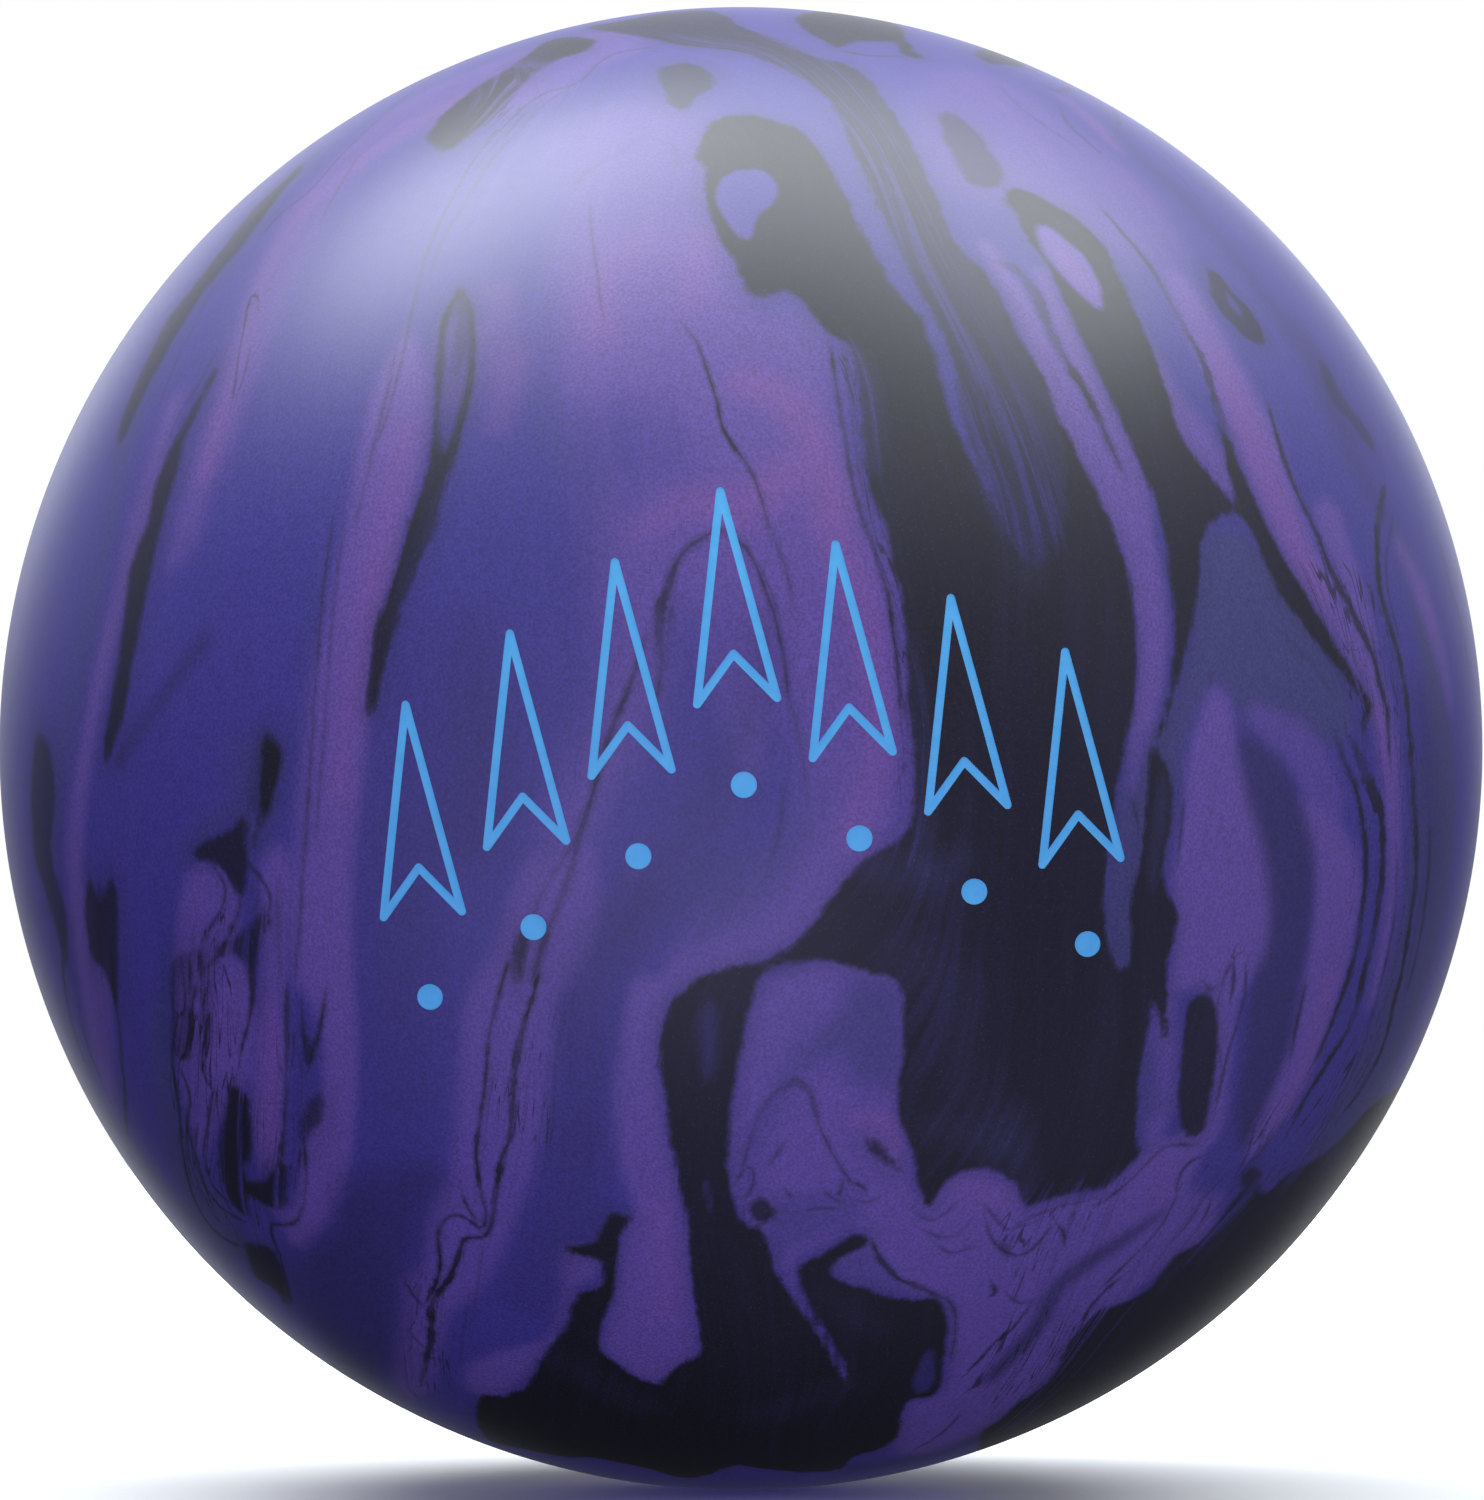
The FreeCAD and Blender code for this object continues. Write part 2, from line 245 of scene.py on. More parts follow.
    ("V", 11, 0.95, "shape", [(634, 985), (670, 985), (662, 1023), (658, 1060), (664, 1100), (672, 1150), (680, 1190), (690, 1250), (694, 1300), (699, 1358), (668, 1386), (637, 1384), (612, 1366), (600, 1350), (606, 1322), (616, 1290), (622, 1240), (634, 1212), (624, 1180), (617, 1137), (616, 1088), (622, 1050)]),
    ("P", 16, 0.35, "band", [(655, 1210, 26), (664, 1270, 30), (662, 1320, 24)]),
    ("V", 10, 0.9, "shape", [(562, 1250), (590, 1256), (600, 1278), (578, 1292), (570, 1320), (552, 1350), (530, 1378), (500, 1402), (470, 1396), (468, 1372), (500, 1356), (545, 1342), (560, 1304)]),
    ("V", 14, 0.95, "shape", [(765, 985), (820, 965), (880, 965), (908, 1000), (905, 1060), (899, 1110), (910, 1160), (920, 1200), (950, 1180), (985, 1172), (1014, 1186), (1028, 1212), (1060, 1200), (1100, 1196), (1150, 1150), (1176, 1144), (1200, 1145), (1190, 1190), (1220, 1200), (1210, 1236), (1164, 1272), (1125, 1306), (1086, 1330), (1060, 1372), (1020, 1408), (980, 1440), (930, 1460), (895, 1455), (905, 1412), (940, 1396), (948, 1340), (946, 1312), (912, 1302), (860, 1290), (830, 1270), (866, 1246), (855, 1236), (815, 1258), (796, 1272), (808, 1318), (842, 1380), (832, 1362), (780, 1280), (772, 1252), (748, 1230), (732, 1195), (730, 1140), (735, 1090), (745, 1030)]),
    ("S", 24, 0.75, "shape", [(850, 985), (895, 990), (900, 1040), (892, 1090), (860, 1090), (836, 1060), (800, 1075), (780, 1090), (800, 1050), (840, 1010)]),
    ("S", 18, 0.55, "shape", [(745, 1150), (765, 1110), (790, 1096), (775, 1130), (760, 1170), (750, 1200)]),
    ("S", 16, 0.45, "shape", [(780, 1205), (850, 1195), (860, 1225), (820, 1240), (780, 1262), (766, 1240)]),
    ("P", 16, 0.55, "band", [(862, 1125, 16), (885, 1128, 24), (896, 1150, 20)]),
    ("P", 18, 0.30, "band", [(975, 1195, 40), (1005, 1205, 30)]),
    ("P", 22, 0.25, "band", [(1150, 1165, 20), (1165, 1190, 26), (1150, 1220, 20)]),
    ("D", 12, 0.85, "band", [(1160, 1218, 12), (1117, 1248, 26), (1078, 1274, 30), (1055, 1296, 28), (1040, 1327, 26), (1014, 1358, 24), (990, 1384, 18)]),
    ("D", 26, 0.55, "band", [(1060, 1385, 20), (1000, 1430, 40), (930, 1460, 44), (860, 1474, 36)]),
    ("V", 14, 0.9, "band", [(1165, 1000, 24), (1162, 1060, 36), (1158, 1110, 42), (1152, 1142, 24)]),
    ("S", 16, 0.6, "band", [(1150, 1060, 20), (1152, 1110, 30)]),
    ("S", 10, 0.5, "shape", [(838, 1272), (862, 1256), (885, 1268), (905, 1290), (935, 1302), (946, 1316), (905, 1300), (860, 1290)]),
]

# Dark pours: (softness, strength, outline), each may be followed by lens-shaped holes in HOLES.
DARK = [
    # the big pour: head, shoulder, right edge down to the swirls, left edge back up
    (5, 1.0, [(703, 131), (712, 118), (732, 111), (752, 110), (775, 115), (797, 124), (817, 141), (836, 172), (849, 196), (863, 229), (879, 255), (895, 288), (912, 304), (925, 324), (935, 346), (940, 372), (946, 400), (957, 428), (968, 452), (985, 480), (1000, 510), (1015, 540), (1040, 560), (1060, 520), (1062, 450), (1050, 400), (1030, 372), (1010, 340), (996, 318), (985, 290), (972, 262), (980, 262), (996, 288), (1009, 310), (1022, 337), (1036, 360), (1049, 386), (1058, 412), (1071, 438), (1081, 458), (1094, 484), (1101, 500), (1114, 524), (1124, 551), (1130, 580), (1135, 626), (1137, 658), (1135, 691), (1130, 724), (1124, 757), (1118, 783), (1113, 810), (1108, 845), (1105, 890), (1106, 930), (1114, 960), (1124, 975), (1132, 950), (1131, 904), (1137, 868), (1143, 838), (1147, 789), (1150, 748), (1157, 738), (1166, 728), (1172, 700), (1184, 658), (1190, 632), (1195, 609), (1200, 577), (1203, 540), (1215, 517), (1240, 515), (1260, 552), (1283, 598), (1306, 628), (1328, 655), (1350, 684), (1363, 706), (1361, 724), (1364, 738), (1367, 728), (1372, 712), (1372, 700), (1356, 675), (1339, 649), (1326, 626), (1313, 603), (1297, 577), (1281, 551), (1268, 524), (1257, 500), (1248, 485), (1238, 460), (1228, 432), (1222, 432), (1228, 470), (1236, 500), (1226, 492), (1208, 470), (1192, 452), (1179, 425), (1170, 392), (1160, 366), (1147, 333), (1134, 304), (1124, 281), (1114, 261), (1104, 242), (1088, 224), (1068, 209), (1045, 197), (1020, 184), (1006, 188), (1003, 196), (1018, 210), (1024, 228), (1034, 242), (1046, 257), (1056, 277), (1066, 301), (1079, 330), (1094, 363), (1111, 399), (1124, 428), (1137, 458), (1149, 484), (1157, 505), (1163, 528), (1168, 560), (1173, 603), (1174, 632), (1173, 658), (1170, 681), (1166, 701), (1160, 722), (1154, 742), (1166, 765), (1172, 785), (1172, 815), (1168, 838), (1164, 871), (1170, 897), (1178, 916), (1176, 935), (1170, 957), (1167, 985), (1168, 1010), (1170, 1040), (1163, 1040), (1158, 1010), (1150, 1000), (1148, 1030), (1140, 1070), (1137, 1110), (1136, 1140), (1140, 1156), (1130, 1168), (1117, 1182), (1101, 1192), (1081, 1194), (1058, 1199), (1039, 1206), (1029, 1209), (1022, 1202), (1017, 1189), (1002, 1178), (984, 1172), (964, 1175), (948, 1183), (938, 1198), (928, 1212), (919, 1190), (912, 1160), (903, 1131), (899, 1098), (904, 1055), (903, 1010), (900, 985), (880, 975), (850, 968), (820, 962), (790, 966), (764, 975), (756, 990), (748, 1016), (742, 1046), (738, 1072), (733, 1101), (730, 1134), (728, 1166), (732, 1199), (738, 1220), (748, 1231), (761, 1233), (770, 1251), (777, 1278), (788, 1297), (803, 1318), (818, 1340), (832, 1363), (846, 1385), (852, 1395), (846, 1380), (836, 1355), (822, 1330), (808, 1304), (800, 1282), (800, 1268), (817, 1260), (836, 1248), (852, 1240), (866, 1239), (868, 1248), (852, 1258), (832, 1268), (838, 1284), (859, 1291), (882, 1299), (912, 1304), (938, 1307), (947, 1320), (948, 1343), (944, 1369), (938, 1395), (925, 1403), (908, 1405), (902, 1418), (900, 1436), (886, 1452), (868, 1458), (854, 1463), (842, 1474), (817, 1478), (768, 1475), (738, 1471), (719, 1477), (686, 1484), (647, 1474), (595, 1464), (555, 1461), (523, 1454), (490, 1446), (476, 1424), (484, 1400), (500, 1402), (526, 1392), (539, 1369), (552, 1350), (567, 1330), (572, 1315), (578, 1297), (600, 1293), (602, 1272), (597, 1262), (572, 1258), (566, 1251), (580, 1249), (595, 1245), (602, 1230), (610, 1216), (622, 1219), (634, 1222), (622, 1236), (617, 1271), (614, 1300), (605, 1324), (600, 1350), (614, 1366), (637, 1383), (658, 1390), (673, 1374), (699, 1358), (698, 1333), (693, 1300), (689, 1251), (686, 1219), (680, 1186), (673, 1153), (668, 1121), (663, 1088), (660, 1055), (663, 1023), (671, 1002), (684, 992), (699, 980), (730, 972), (771, 958), (797, 943), (817, 920), (833, 897), (846, 877), (862, 862), (884, 850), (900, 838), (912, 815), (912, 757), (907, 700), (905, 626), (900, 593), (892, 560), (885, 521), (872, 498), (866, 470), (862, 430), (860, 400), (855, 370), (850, 345), (842, 338), (832, 333), (820, 322), (808, 306), (797, 294), (784, 288), (768, 293), (755, 293), (745, 281), (735, 261), (725, 245), (716, 226), (707, 203), (704, 183), (703, 160), (697, 152), (699, 138)]),
    # lower right side, down to the limb and past it
    (6, 1.0, [(1268, 1196), (1282, 1180), (1304, 1170), (1330, 1152), (1352, 1130), (1374, 1106), (1392, 1094), (1412, 1084), (1432, 1100), (1412, 1150), (1390, 1200), (1350, 1280), (1260, 1370), (1150, 1440), (1040, 1480), (985, 1470), (980, 1442), (1000, 1425), (1019, 1408), (1039, 1395), (1058, 1372), (1068, 1350), (1085, 1330), (1100, 1314), (1124, 1307), (1150, 1292), (1163, 1274), (1176, 1258), (1192, 1251), (1209, 1238), (1228, 1212), (1251, 1186)]),
    # head blobs
    (7, 0.95, [(428, 131), (433, 143), (447, 146), (462, 137), (485, 118), (508, 98), (530, 74), (553, 56), (578, 48), (592, 42), (594, 35), (580, 31), (562, 32), (543, 37), (528, 49), (510, 62), (488, 74), (468, 88), (450, 103), (436, 117)]),
    (6, 0.85, [(657, 69), (663, 62), (680, 57), (699, 60), (712, 67), (717, 77), (709, 85), (697, 90), (690, 101), (680, 105), (670, 100), (663, 85)]),
    (6, 0.95, [(797, 13), (804, 8), (820, 6), (849, 8), (882, 14), (902, 22), (908, 34), (916, 47), (926, 52), (912, 52), (901, 46), (896, 36), (880, 36), (864, 35), (849, 38), (836, 42), (820, 34), (807, 26), (799, 20)]),
    (7, 0.75, [(938, 108), (948, 106), (964, 114), (980, 131), (992, 147), (1001, 170), (996, 184), (978, 182), (966, 176), (957, 158), (948, 141), (941, 124)]),
    (5, 0.85, [(1208, 265), (1219, 271), (1235, 291), (1248, 304), (1261, 324), (1266, 340), (1250, 338), (1235, 323), (1219, 307), (1209, 288)]),
    (8, 0.85, [(978, 44), (992, 44), (1010, 50), (1024, 60), (1008, 60), (990, 58), (978, 52)]),
    # the band beside the left violet pour
    (5, 0.95, [(460, 285), (468, 296), (473, 318), (474, 345), (473, 372), (468, 400), (461, 430), (452, 462), (444, 495), (435, 528), (420, 562), (404, 600), (390, 645), (382, 680), (374, 712), (366, 712), (368, 678), (371, 652), (375, 626), (386, 596), (397, 560), (409, 521), (418, 495), (426, 468), (431, 438), (435, 400), (437, 360), (440, 330), (444, 312), (451, 300)]),
    # left vein that widens into a band
    (8, 0.9, [(213, 365), (216, 370), (206, 392), (199, 410), (190, 428), (182, 446), (178, 465), (172, 485), (167, 500), (161, 528), (155, 554), (149, 586), (141, 619), (134, 658), (127, 700), (116, 740), (106, 760), (104, 740), (113, 691), (118, 652), (124, 613), (128, 580), (136, 547), (147, 520), (152, 495), (160, 470), (170, 445), (182, 425), (194, 402), (204, 385)]),
    # left limb, with its other side round the back
    (9, 0.85, [(300, 160), (302, 166), (284, 185), (262, 216), (240, 245), (214, 276), (192, 306), (172, 340), (154, 372), (138, 404), (126, 432), (118, 442), (122, 415), (134, 384), (150, 350), (168, 316), (194, 282), (224, 243), (254, 205), (284, 176)]),
    (9, 0.75, [(38, 730), (50, 750), (55, 800), (51, 850), (60, 890), (68, 930), (66, 975), (58, 940), (45, 892), (34, 852), (31, 800), (33, 760)]),
    # lower left
    (7, 0.85, [(268, 728), (276, 742), (283, 758), (279, 776), (271, 800), (263, 826), (255, 850), (250, 846), (256, 825), (260, 800), (260, 775), (262, 750)]),
    (6, 0.9, [(193, 853), (209, 840), (229, 829), (243, 815), (249, 822), (247, 845), (249, 864), (244, 898), (237, 895), (229, 881), (219, 868), (206, 861), (196, 861)]),
    (7, 0.85, [(265, 910), (271, 923), (263, 940), (257, 960), (257, 985), (254, 1008), (246, 986), (245, 966), (230, 955), (216, 960), (214, 950), (230, 944), (240, 932), (254, 922)]),
    (8, 0.85, [(87, 884), (92, 882), (98, 900), (108, 882), (116, 888), (119, 920), (118, 960), (118, 1005), (110, 990), (102, 970), (94, 968), (88, 940), (85, 910)]),
    (8, 0.8, [(176, 960), (190, 955), (200, 950), (205, 965), (192, 985), (190, 1010), (196, 1035), (192, 1058), (180, 1062), (172, 1045), (172, 1010), (170, 985)]),
    (6, 0.95, [(229, 1090), (243, 1091), (250, 1108), (252, 1137), (250, 1160), (243, 1175), (247, 1184), (261, 1183), (275, 1172), (284, 1166), (289, 1186), (282, 1214), (262, 1208), (250, 1200), (246, 1220), (235, 1212), (225, 1193), (219, 1166), (221, 1137), (224, 1112)]),
    (8, 0.75, [(314, 1101), (323, 1096), (324, 1118), (312, 1137), (301, 1150), (299, 1130), (304, 1114)]),
    (5, 0.75, [(304, 1030), (312, 1050), (316, 1052), (310, 1068), (306, 1066), (303, 1050)]),
    (7, 0.9, [(245, 1248), (271, 1251), (278, 1261), (284, 1278), (290, 1306), (285, 1309), (275, 1294), (258, 1284), (250, 1268)]),
    (7, 0.8, [(516, 940), (528, 934), (526, 960), (520, 985), (515, 975), (514, 955)]),
    (6, 0.9, [(752, 1205), (764, 1202), (774, 1212), (773, 1225), (760, 1226), (751, 1216)]),
    (6, 0.9, [(864, 1142), (870, 1140), (884, 1150), (902, 1172), (898, 1176), (880, 1164), (866, 1154)]),
    (5, 0.95, [(1189, 1006), (1200, 996), (1212, 1002), (1216, 1023), (1215, 1072), (1210, 1104), (1206, 1127), (1195, 1140), (1183, 1131), (1179, 1098), (1183, 1055), (1185, 1023)]),
    (5, 0.85, [(1243, 1176), (1254, 1170), (1262, 1176), (1257, 1190), (1247, 1196), (1242, 1188)]),
    (8, 0.6, [(1318, 356), (1326, 360), (1336, 380), (1350, 405), (1368, 428), (1376, 450), (1364, 440), (1346, 415), (1328, 392)]),
]
# Openings in the dark pours that show the pigment under them: (softness, strength, outline)
HOLES = [
    (4, 1.0, [(717, 183), (724, 172), (737, 166), (751, 165), (766, 168), (776, 178), (778, 191), (770, 203), (760, 210), (755, 219), (753, 231), (748, 236), (738, 231), (728, 218), (720, 206), (716, 195)]),
    (5, 1.0, [(1036, 222), (1049, 222), (1065, 236), (1084, 252), (1098, 277), (1102, 306), (1090, 301), (1073, 284), (1056, 265), (1043, 245)]),
    (7, 0.75, [(458, 296), (466, 306), (469, 345), (466, 380), (458, 415), (450, 440), (442, 450), (438, 420), (441, 380), (444, 340), (450, 312)]),
    (5, 0.7, [(1226, 289), (1234, 296), (1243, 311), (1236, 309), (1228, 299)]),
    (12, 0.45, [(704, 1016), (712, 1008), (716, 1026), (714, 1060), (708, 1080), (704, 1060), (702, 1036)]),
    (4, 0.45, [(704, 1188), (708, 1186), (710, 1202), (710, 1216), (706, 1212), (704, 1200)]),
    (6, 0.55, [(931, 1353), (936, 1372), (931, 1393), (918, 1399), (914, 1388), (921, 1368)]),
    (10, 0.30, [(1162, 776), (1168, 800), (1160, 850), (1156, 890), (1150, 880), (1154, 830)]),
    (14, 0.28, [(455, 470), (430, 540), (410, 600), (396, 650), (400, 600), (420, 550), (440, 490)]),
]

# Soft dark or pale drifts inside other pours: (softness, amount, points with width). Amount + darkens, - lifts to slate.
DRIFT = [
    (22, -0.16, [(860, 860, 20), (900, 872, 40), (930, 880, 30), (960, 860, 10)]),
    (30, -0.10, [(900, 960, 40), (960, 1000, 60), (960, 1060, 50), (985, 1120, 40), (990, 1160, 20)]),
    (26, -0.14, [(1015, 1120, 16), (1018, 1160, 20), (1022, 1185, 14)]),
    (24, -0.12, [(925, 1130, 24), (975, 1140, 40), (1010, 1150, 26)]),
    (14, -0.16, [(905, 640, 10), (915, 700, 16), (920, 770, 18), (925, 830, 16), (925, 870, 16)]),
    (26, -0.12, [(990, 480, 30), (1020, 520, 30), (1030, 570, 20)]),
    (26, 0.35, [(268, 752, 16), (262, 800, 14)]),
    (26, -0.10, [(570, 1370, 30), (600, 1390, 40), (640, 1410, 24)]),
    (24, -0.09, [(830, 1300, 20), (860, 1325, 30), (880, 1335, 16)]),
    (24, -0.10, [(840, 1390, 30), (800, 1410, 40), (760, 1420, 30)]),
    (30, -0.22, [(1335, 1140, 40), (1330, 1180, 40), (1310, 1210, 20)]),
    (16, -0.14, [(1262, 1175, 8), (1250, 1200, 10), (1232, 1226, 10), (1205, 1260, 8)]),
    (12, -0.12, [(1175, 1262, 8), (1163, 1290, 8)]),
    (18, -0.30, [(850, 352, 10), (862, 380, 18), (866, 420, 16), (868, 460, 10)]),
    (22, -0.35, [(760, 300, 10), (768, 318, 24), (772, 330, 10)]),
    (20, 0.30, [(205, 640, 6), (120, 760, 4)]),
]

# Veins: (blur px, strength, points with width px), thin dark lines
VEIN = [
    (1.3, 0.40, [(653, 42, 3), (621, 46, 3), (598, 58, 3), (585, 72, 3), (568, 82, 3), (549, 86, 3), (529, 98, 3), (510, 115, 3), (490, 136, 3), (478, 150, 3), (458, 183, 3), (438, 222, 3), (425, 255, 3), (415, 294, 3), (408, 327, 3), (402, 356, 3), (386, 418, 3), (370, 450, 2)]),
    (1.3, 0.30, [(568, 84, 2), (549, 96, 2), (530, 112, 2), (518, 127, 2), (498, 148, 2), (470, 190, 2), (445, 232, 2), (430, 270, 2)]),
    (1.2, 0.45, [(480, 50, 2), (440, 68, 2), (400, 96, 2), (370, 122, 2), (340, 152, 2), (310, 186, 2), (280, 210, 2), (262, 232, 2)]),
    (1.2, 0.30, [(360, 150, 2), (335, 190, 2), (318, 222, 2)]),
    (1.5, 0.70, [(232, 236, 3), (250, 222, 4), (264, 206, 4), (280, 186, 5), (296, 168, 4)]),
    (1.0, 0.65, [(259, 298, 2), (255, 288, 2.5), (249, 297, 2), (246, 312, 2), (243, 330, 2), (238, 357, 2), (235, 378, 2), (233, 394, 2)]),
    (1.0, 0.50, [(250, 345, 2), (247, 360, 2), (243, 375, 2), (237, 392, 2)]),
    (1.2, 0.35, [(215, 350, 2), (200, 380, 2), (180, 410, 2), (168, 440, 2)]),
    (1.0, 0.25, [(236, 230, 2), (205, 300, 2), (180, 350, 2), (160, 400, 2)]),
    (1.8, 0.80, [(437, 392, 6), (439, 360, 5), (441, 330, 5), (447, 310, 5), (452, 300, 4), (460, 286, 4), (468, 297, 4), (473, 320, 4), (474, 350, 4), (471, 385, 4), (464, 412, 5), (457, 440, 6), (449, 470, 8)]),
    (2.5, 0.35, [(461, 300, 8), (461, 340, 10), (457, 370, 6)]),
    (1.8, 0.35, [(333, 520, 4), (322, 600, 4), (316, 680, 4), (311, 760, 5), (306, 840, 5), (300, 920, 5), (296, 980, 4)]),
    (1.8, 0.22, [(345, 520, 3), (334, 600, 3), (328, 680, 3), (322, 760, 3), (316, 840, 3)]),
    (2.0, 0.30, [(398, 340, 3), (385, 400, 4), (370, 460, 5), (356, 520, 5)]),
    (1.5, 0.55, [(248, 864, 4), (258, 876, 4), (266, 888, 4), (271, 902, 4), (268, 914, 4)]),
    (1.5, 0.55, [(210, 864, 4), (220, 876, 4), (226, 892, 4), (222, 910, 4), (212, 926, 3), (205, 940, 3)]),
    (1.8, 0.60, [(241, 900, 4), (237, 918, 5), (230, 934, 5), (224, 950, 5), (212, 964, 4), (200, 978, 4)]),
    (1.5, 0.55, [(207, 990, 4), (203, 1010, 4), (206, 1034, 4), (202, 1056, 4), (205, 1080, 4), (212, 1092, 4)]),
    (1.5, 0.60, [(197, 985, 5), (192, 1010, 5), (190, 1040, 5), (184, 1062, 5)]),
    (1.5, 0.75, [(172, 1000, 4), (175, 1030, 4), (172, 1060, 5), (176, 1090, 4), (180, 1120, 4), (183, 1155, 4), (190, 1190, 4), (200, 1215, 4), (218, 1238, 4), (240, 1250, 5)]),
    (1.5, 0.55, [(180, 1070, 4), (190, 1100, 4), (188, 1130, 4), (196, 1160, 5), (205, 1190, 5), (222, 1212, 5), (242, 1224, 4)]),
    (1.5, 0.55, [(212, 1096, 4), (208, 1130, 4), (204, 1160, 4), (213, 1190, 4), (230, 1206, 4)]),
    (1.4, 0.65, [(253, 985, 4), (251, 1015, 4), (244, 1040, 4), (239, 1062, 3)]),
    (1.8, 0.55, [(287, 985, 6), (287, 1040, 6), (286, 1090, 6), (284, 1130, 6), (281, 1165, 7)]),
    (1.8, 0.65, [(326, 990, 4), (322, 1020, 5), (316, 1045, 5), (309, 1066, 6)]),
    (1.8, 0.45, [(302, 1000, 3), (303, 1030, 4), (306, 1055, 4)]),
    (1.5, 0.65, [(304, 1146, 4), (306, 1180, 4), (303, 1208, 4), (296, 1225, 4), (282, 1229, 4), (272, 1228, 4), (272, 1240, 4), (280, 1260, 4), (286, 1284, 4), (291, 1306, 4)]),
    (2.0, 0.80, [(112, 960, 5), (115, 1000, 5), (120, 1035, 5), (122, 1065, 5), (125, 1100, 5), (127, 1140, 3)]),
    (2.2, 0.55, [(100, 880, 4), (98, 930, 5), (102, 975, 4)]),
    (2.0, 0.60, [(62, 960, 6), (68, 1010, 8), (76, 1040, 8), (90, 1076, 6)]),
    (1.6, 0.35, [(78, 1000, 4), (85, 1040, 4), (100, 1080, 4), (118, 1120, 4)]),
    # vein down the lower left, with its branches
    (1.4, 0.85, [(510, 960, 3), (497, 1005, 4), (489, 1040, 4), (485, 1088, 5), (480, 1121, 5), (476, 1155, 5), (481, 1193, 5), (486, 1219, 5), (483, 1234, 4), (471, 1225, 4), (458, 1219, 4), (447, 1222, 4), (438, 1238, 5), (440, 1268, 4), (435, 1291, 5), (426, 1308, 6)]),
    (1.4, 0.85, [(505, 1165, 4), (495, 1195, 4), (491, 1230, 5), (481, 1242, 4), (465, 1242, 4), (458, 1261, 5), (449, 1284, 6), (433, 1308, 8), (431, 1343, 9), (426, 1366, 7), (422, 1389, 5)]),
    (1.6, 0.65, [(463, 1198, 4), (468, 1212, 6), (476, 1224, 5)]),
    (1.6, 0.60, [(405, 1286, 4), (414, 1300, 4), (426, 1312, 6)]),
    (1.6, 0.45, [(412, 1340, 3), (424, 1352, 3), (440, 1356, 3)]),
    (1.4, 0.92, [(540, 970, 4), (532, 1002, 5), (523, 1032, 7), (516, 1065, 8), (513, 1098, 8), (512, 1131, 6), (508, 1147, 5), (500, 1165, 5), (497, 1195, 5), (493, 1222, 4)]),
    (2.2, 0.62, [(644, 639, 4), (636, 668, 5), (625, 698, 6), (614, 722, 6), (606, 745, 6), (598, 775, 5), (588, 808, 5), (579, 838, 6), (572, 871, 7), (562, 897, 7), (552, 923, 7), (541, 952, 6), (533, 985, 6)]),
    (2.0, 0.35, [(600, 740, 3), (590, 800, 3), (570, 850, 4), (545, 890, 4), (528, 930, 5), (520, 970, 6)]),
    # the arch in the middle
    (2.4, 0.70, [(746, 548, 4), (733, 534, 6), (719, 529, 7), (702, 537, 6), (686, 548, 5), (676, 562, 5), (670, 578, 8), (665, 596, 11), (660, 616, 12), (660, 640, 10), (662, 660, 6), (660, 682, 4), (657, 700, 3)]),
    (1.6, 0.60, [(733, 534, 4), (746, 547, 4), (756, 564, 4), (765, 587, 4), (773, 609, 3), (779, 632, 3), (784, 658, 4), (786, 680, 3), (788, 696, 2)]),
    (1.2, 0.40, [(748, 548, 2), (760, 566, 2), (771, 590, 2), (778, 612, 2)]),
    (2.4, 0.40, [(672, 600, 4), (668, 630, 5), (666, 655, 4)]),
    (2.2, 0.30, [(790, 700, 3), (800, 740, 3), (806, 790, 3)]),
    (2.0, 0.22, [(786, 780, 4), (780, 830, 4), (768, 870, 3)]),
    (1.4, 0.85, [(684, 322, 1.5), (699, 343, 2.5), (707, 368, 3), (716, 395, 3), (722, 424, 3.5), (735, 445, 4.5), (748, 464, 4.5), (758, 487, 3.5), (765, 512, 3), (771, 530, 2)]),
    (2.0, 0.30, [(770, 520, 3), (778, 546, 3), (787, 572, 3), (794, 600, 3)]),
    (1.4, 0.90, [(831, 346, 4), (835, 375, 4), (839, 400, 5), (844, 430, 5), (849, 462, 5), (855, 492, 5), (862, 516, 5), (872, 540, 5), (880, 568, 4), (888, 595, 4), (891, 620, 4), (896, 650, 3.5), (899, 685, 3.5), (901, 715, 2.5)]),
    (1.6, 0.35, [(846, 350, 3), (851, 400, 3), (856, 450, 3), (862, 490, 3)]),
    (1.3, 0.30, [(590, 200, 2), (593, 240, 2), (598, 270, 2), (602, 310, 2)]),
    (2.0, 0.22, [(575, 182, 4), (586, 168, 4), (604, 156, 4), (622, 146, 4), (636, 135, 3)]),
    (2.0, 0.22, [(664, 137, 3), (672, 140, 4), (678, 152, 4), (676, 165, 3)]),
    # right side
    (2.2, 0.85, [(1000, 258, 8), (1013, 263, 11), (1029, 280, 13), (1040, 303, 14), (1051, 330, 12), (1065, 356, 9), (1078, 378, 10), (1093, 402, 9), (1105, 430, 7), (1116, 455, 6), (1124, 472, 4)]),
    (1.6, 0.62, [(1100, 202, 3), (1117, 222, 5), (1134, 242, 6), (1150, 262, 6), (1163, 285, 6), (1174, 305, 7), (1187, 328, 8), (1202, 356, 9), (1212, 386, 11), (1220, 416, 13), (1229, 444, 14), (1236, 470, 13), (1244, 490, 12)]),
    (2.0, 0.78, [(1268, 400, 4.5), (1276, 430, 6), (1286, 463, 7.5), (1299, 495, 7.5), (1316, 530, 7.5), (1330, 566, 9), (1346, 596, 9), (1359, 626, 9), (1372, 652, 9), (1379, 680, 7.5), (1386, 705, 7.5), (1388, 730, 7.5), (1390, 762, 4.5)]),
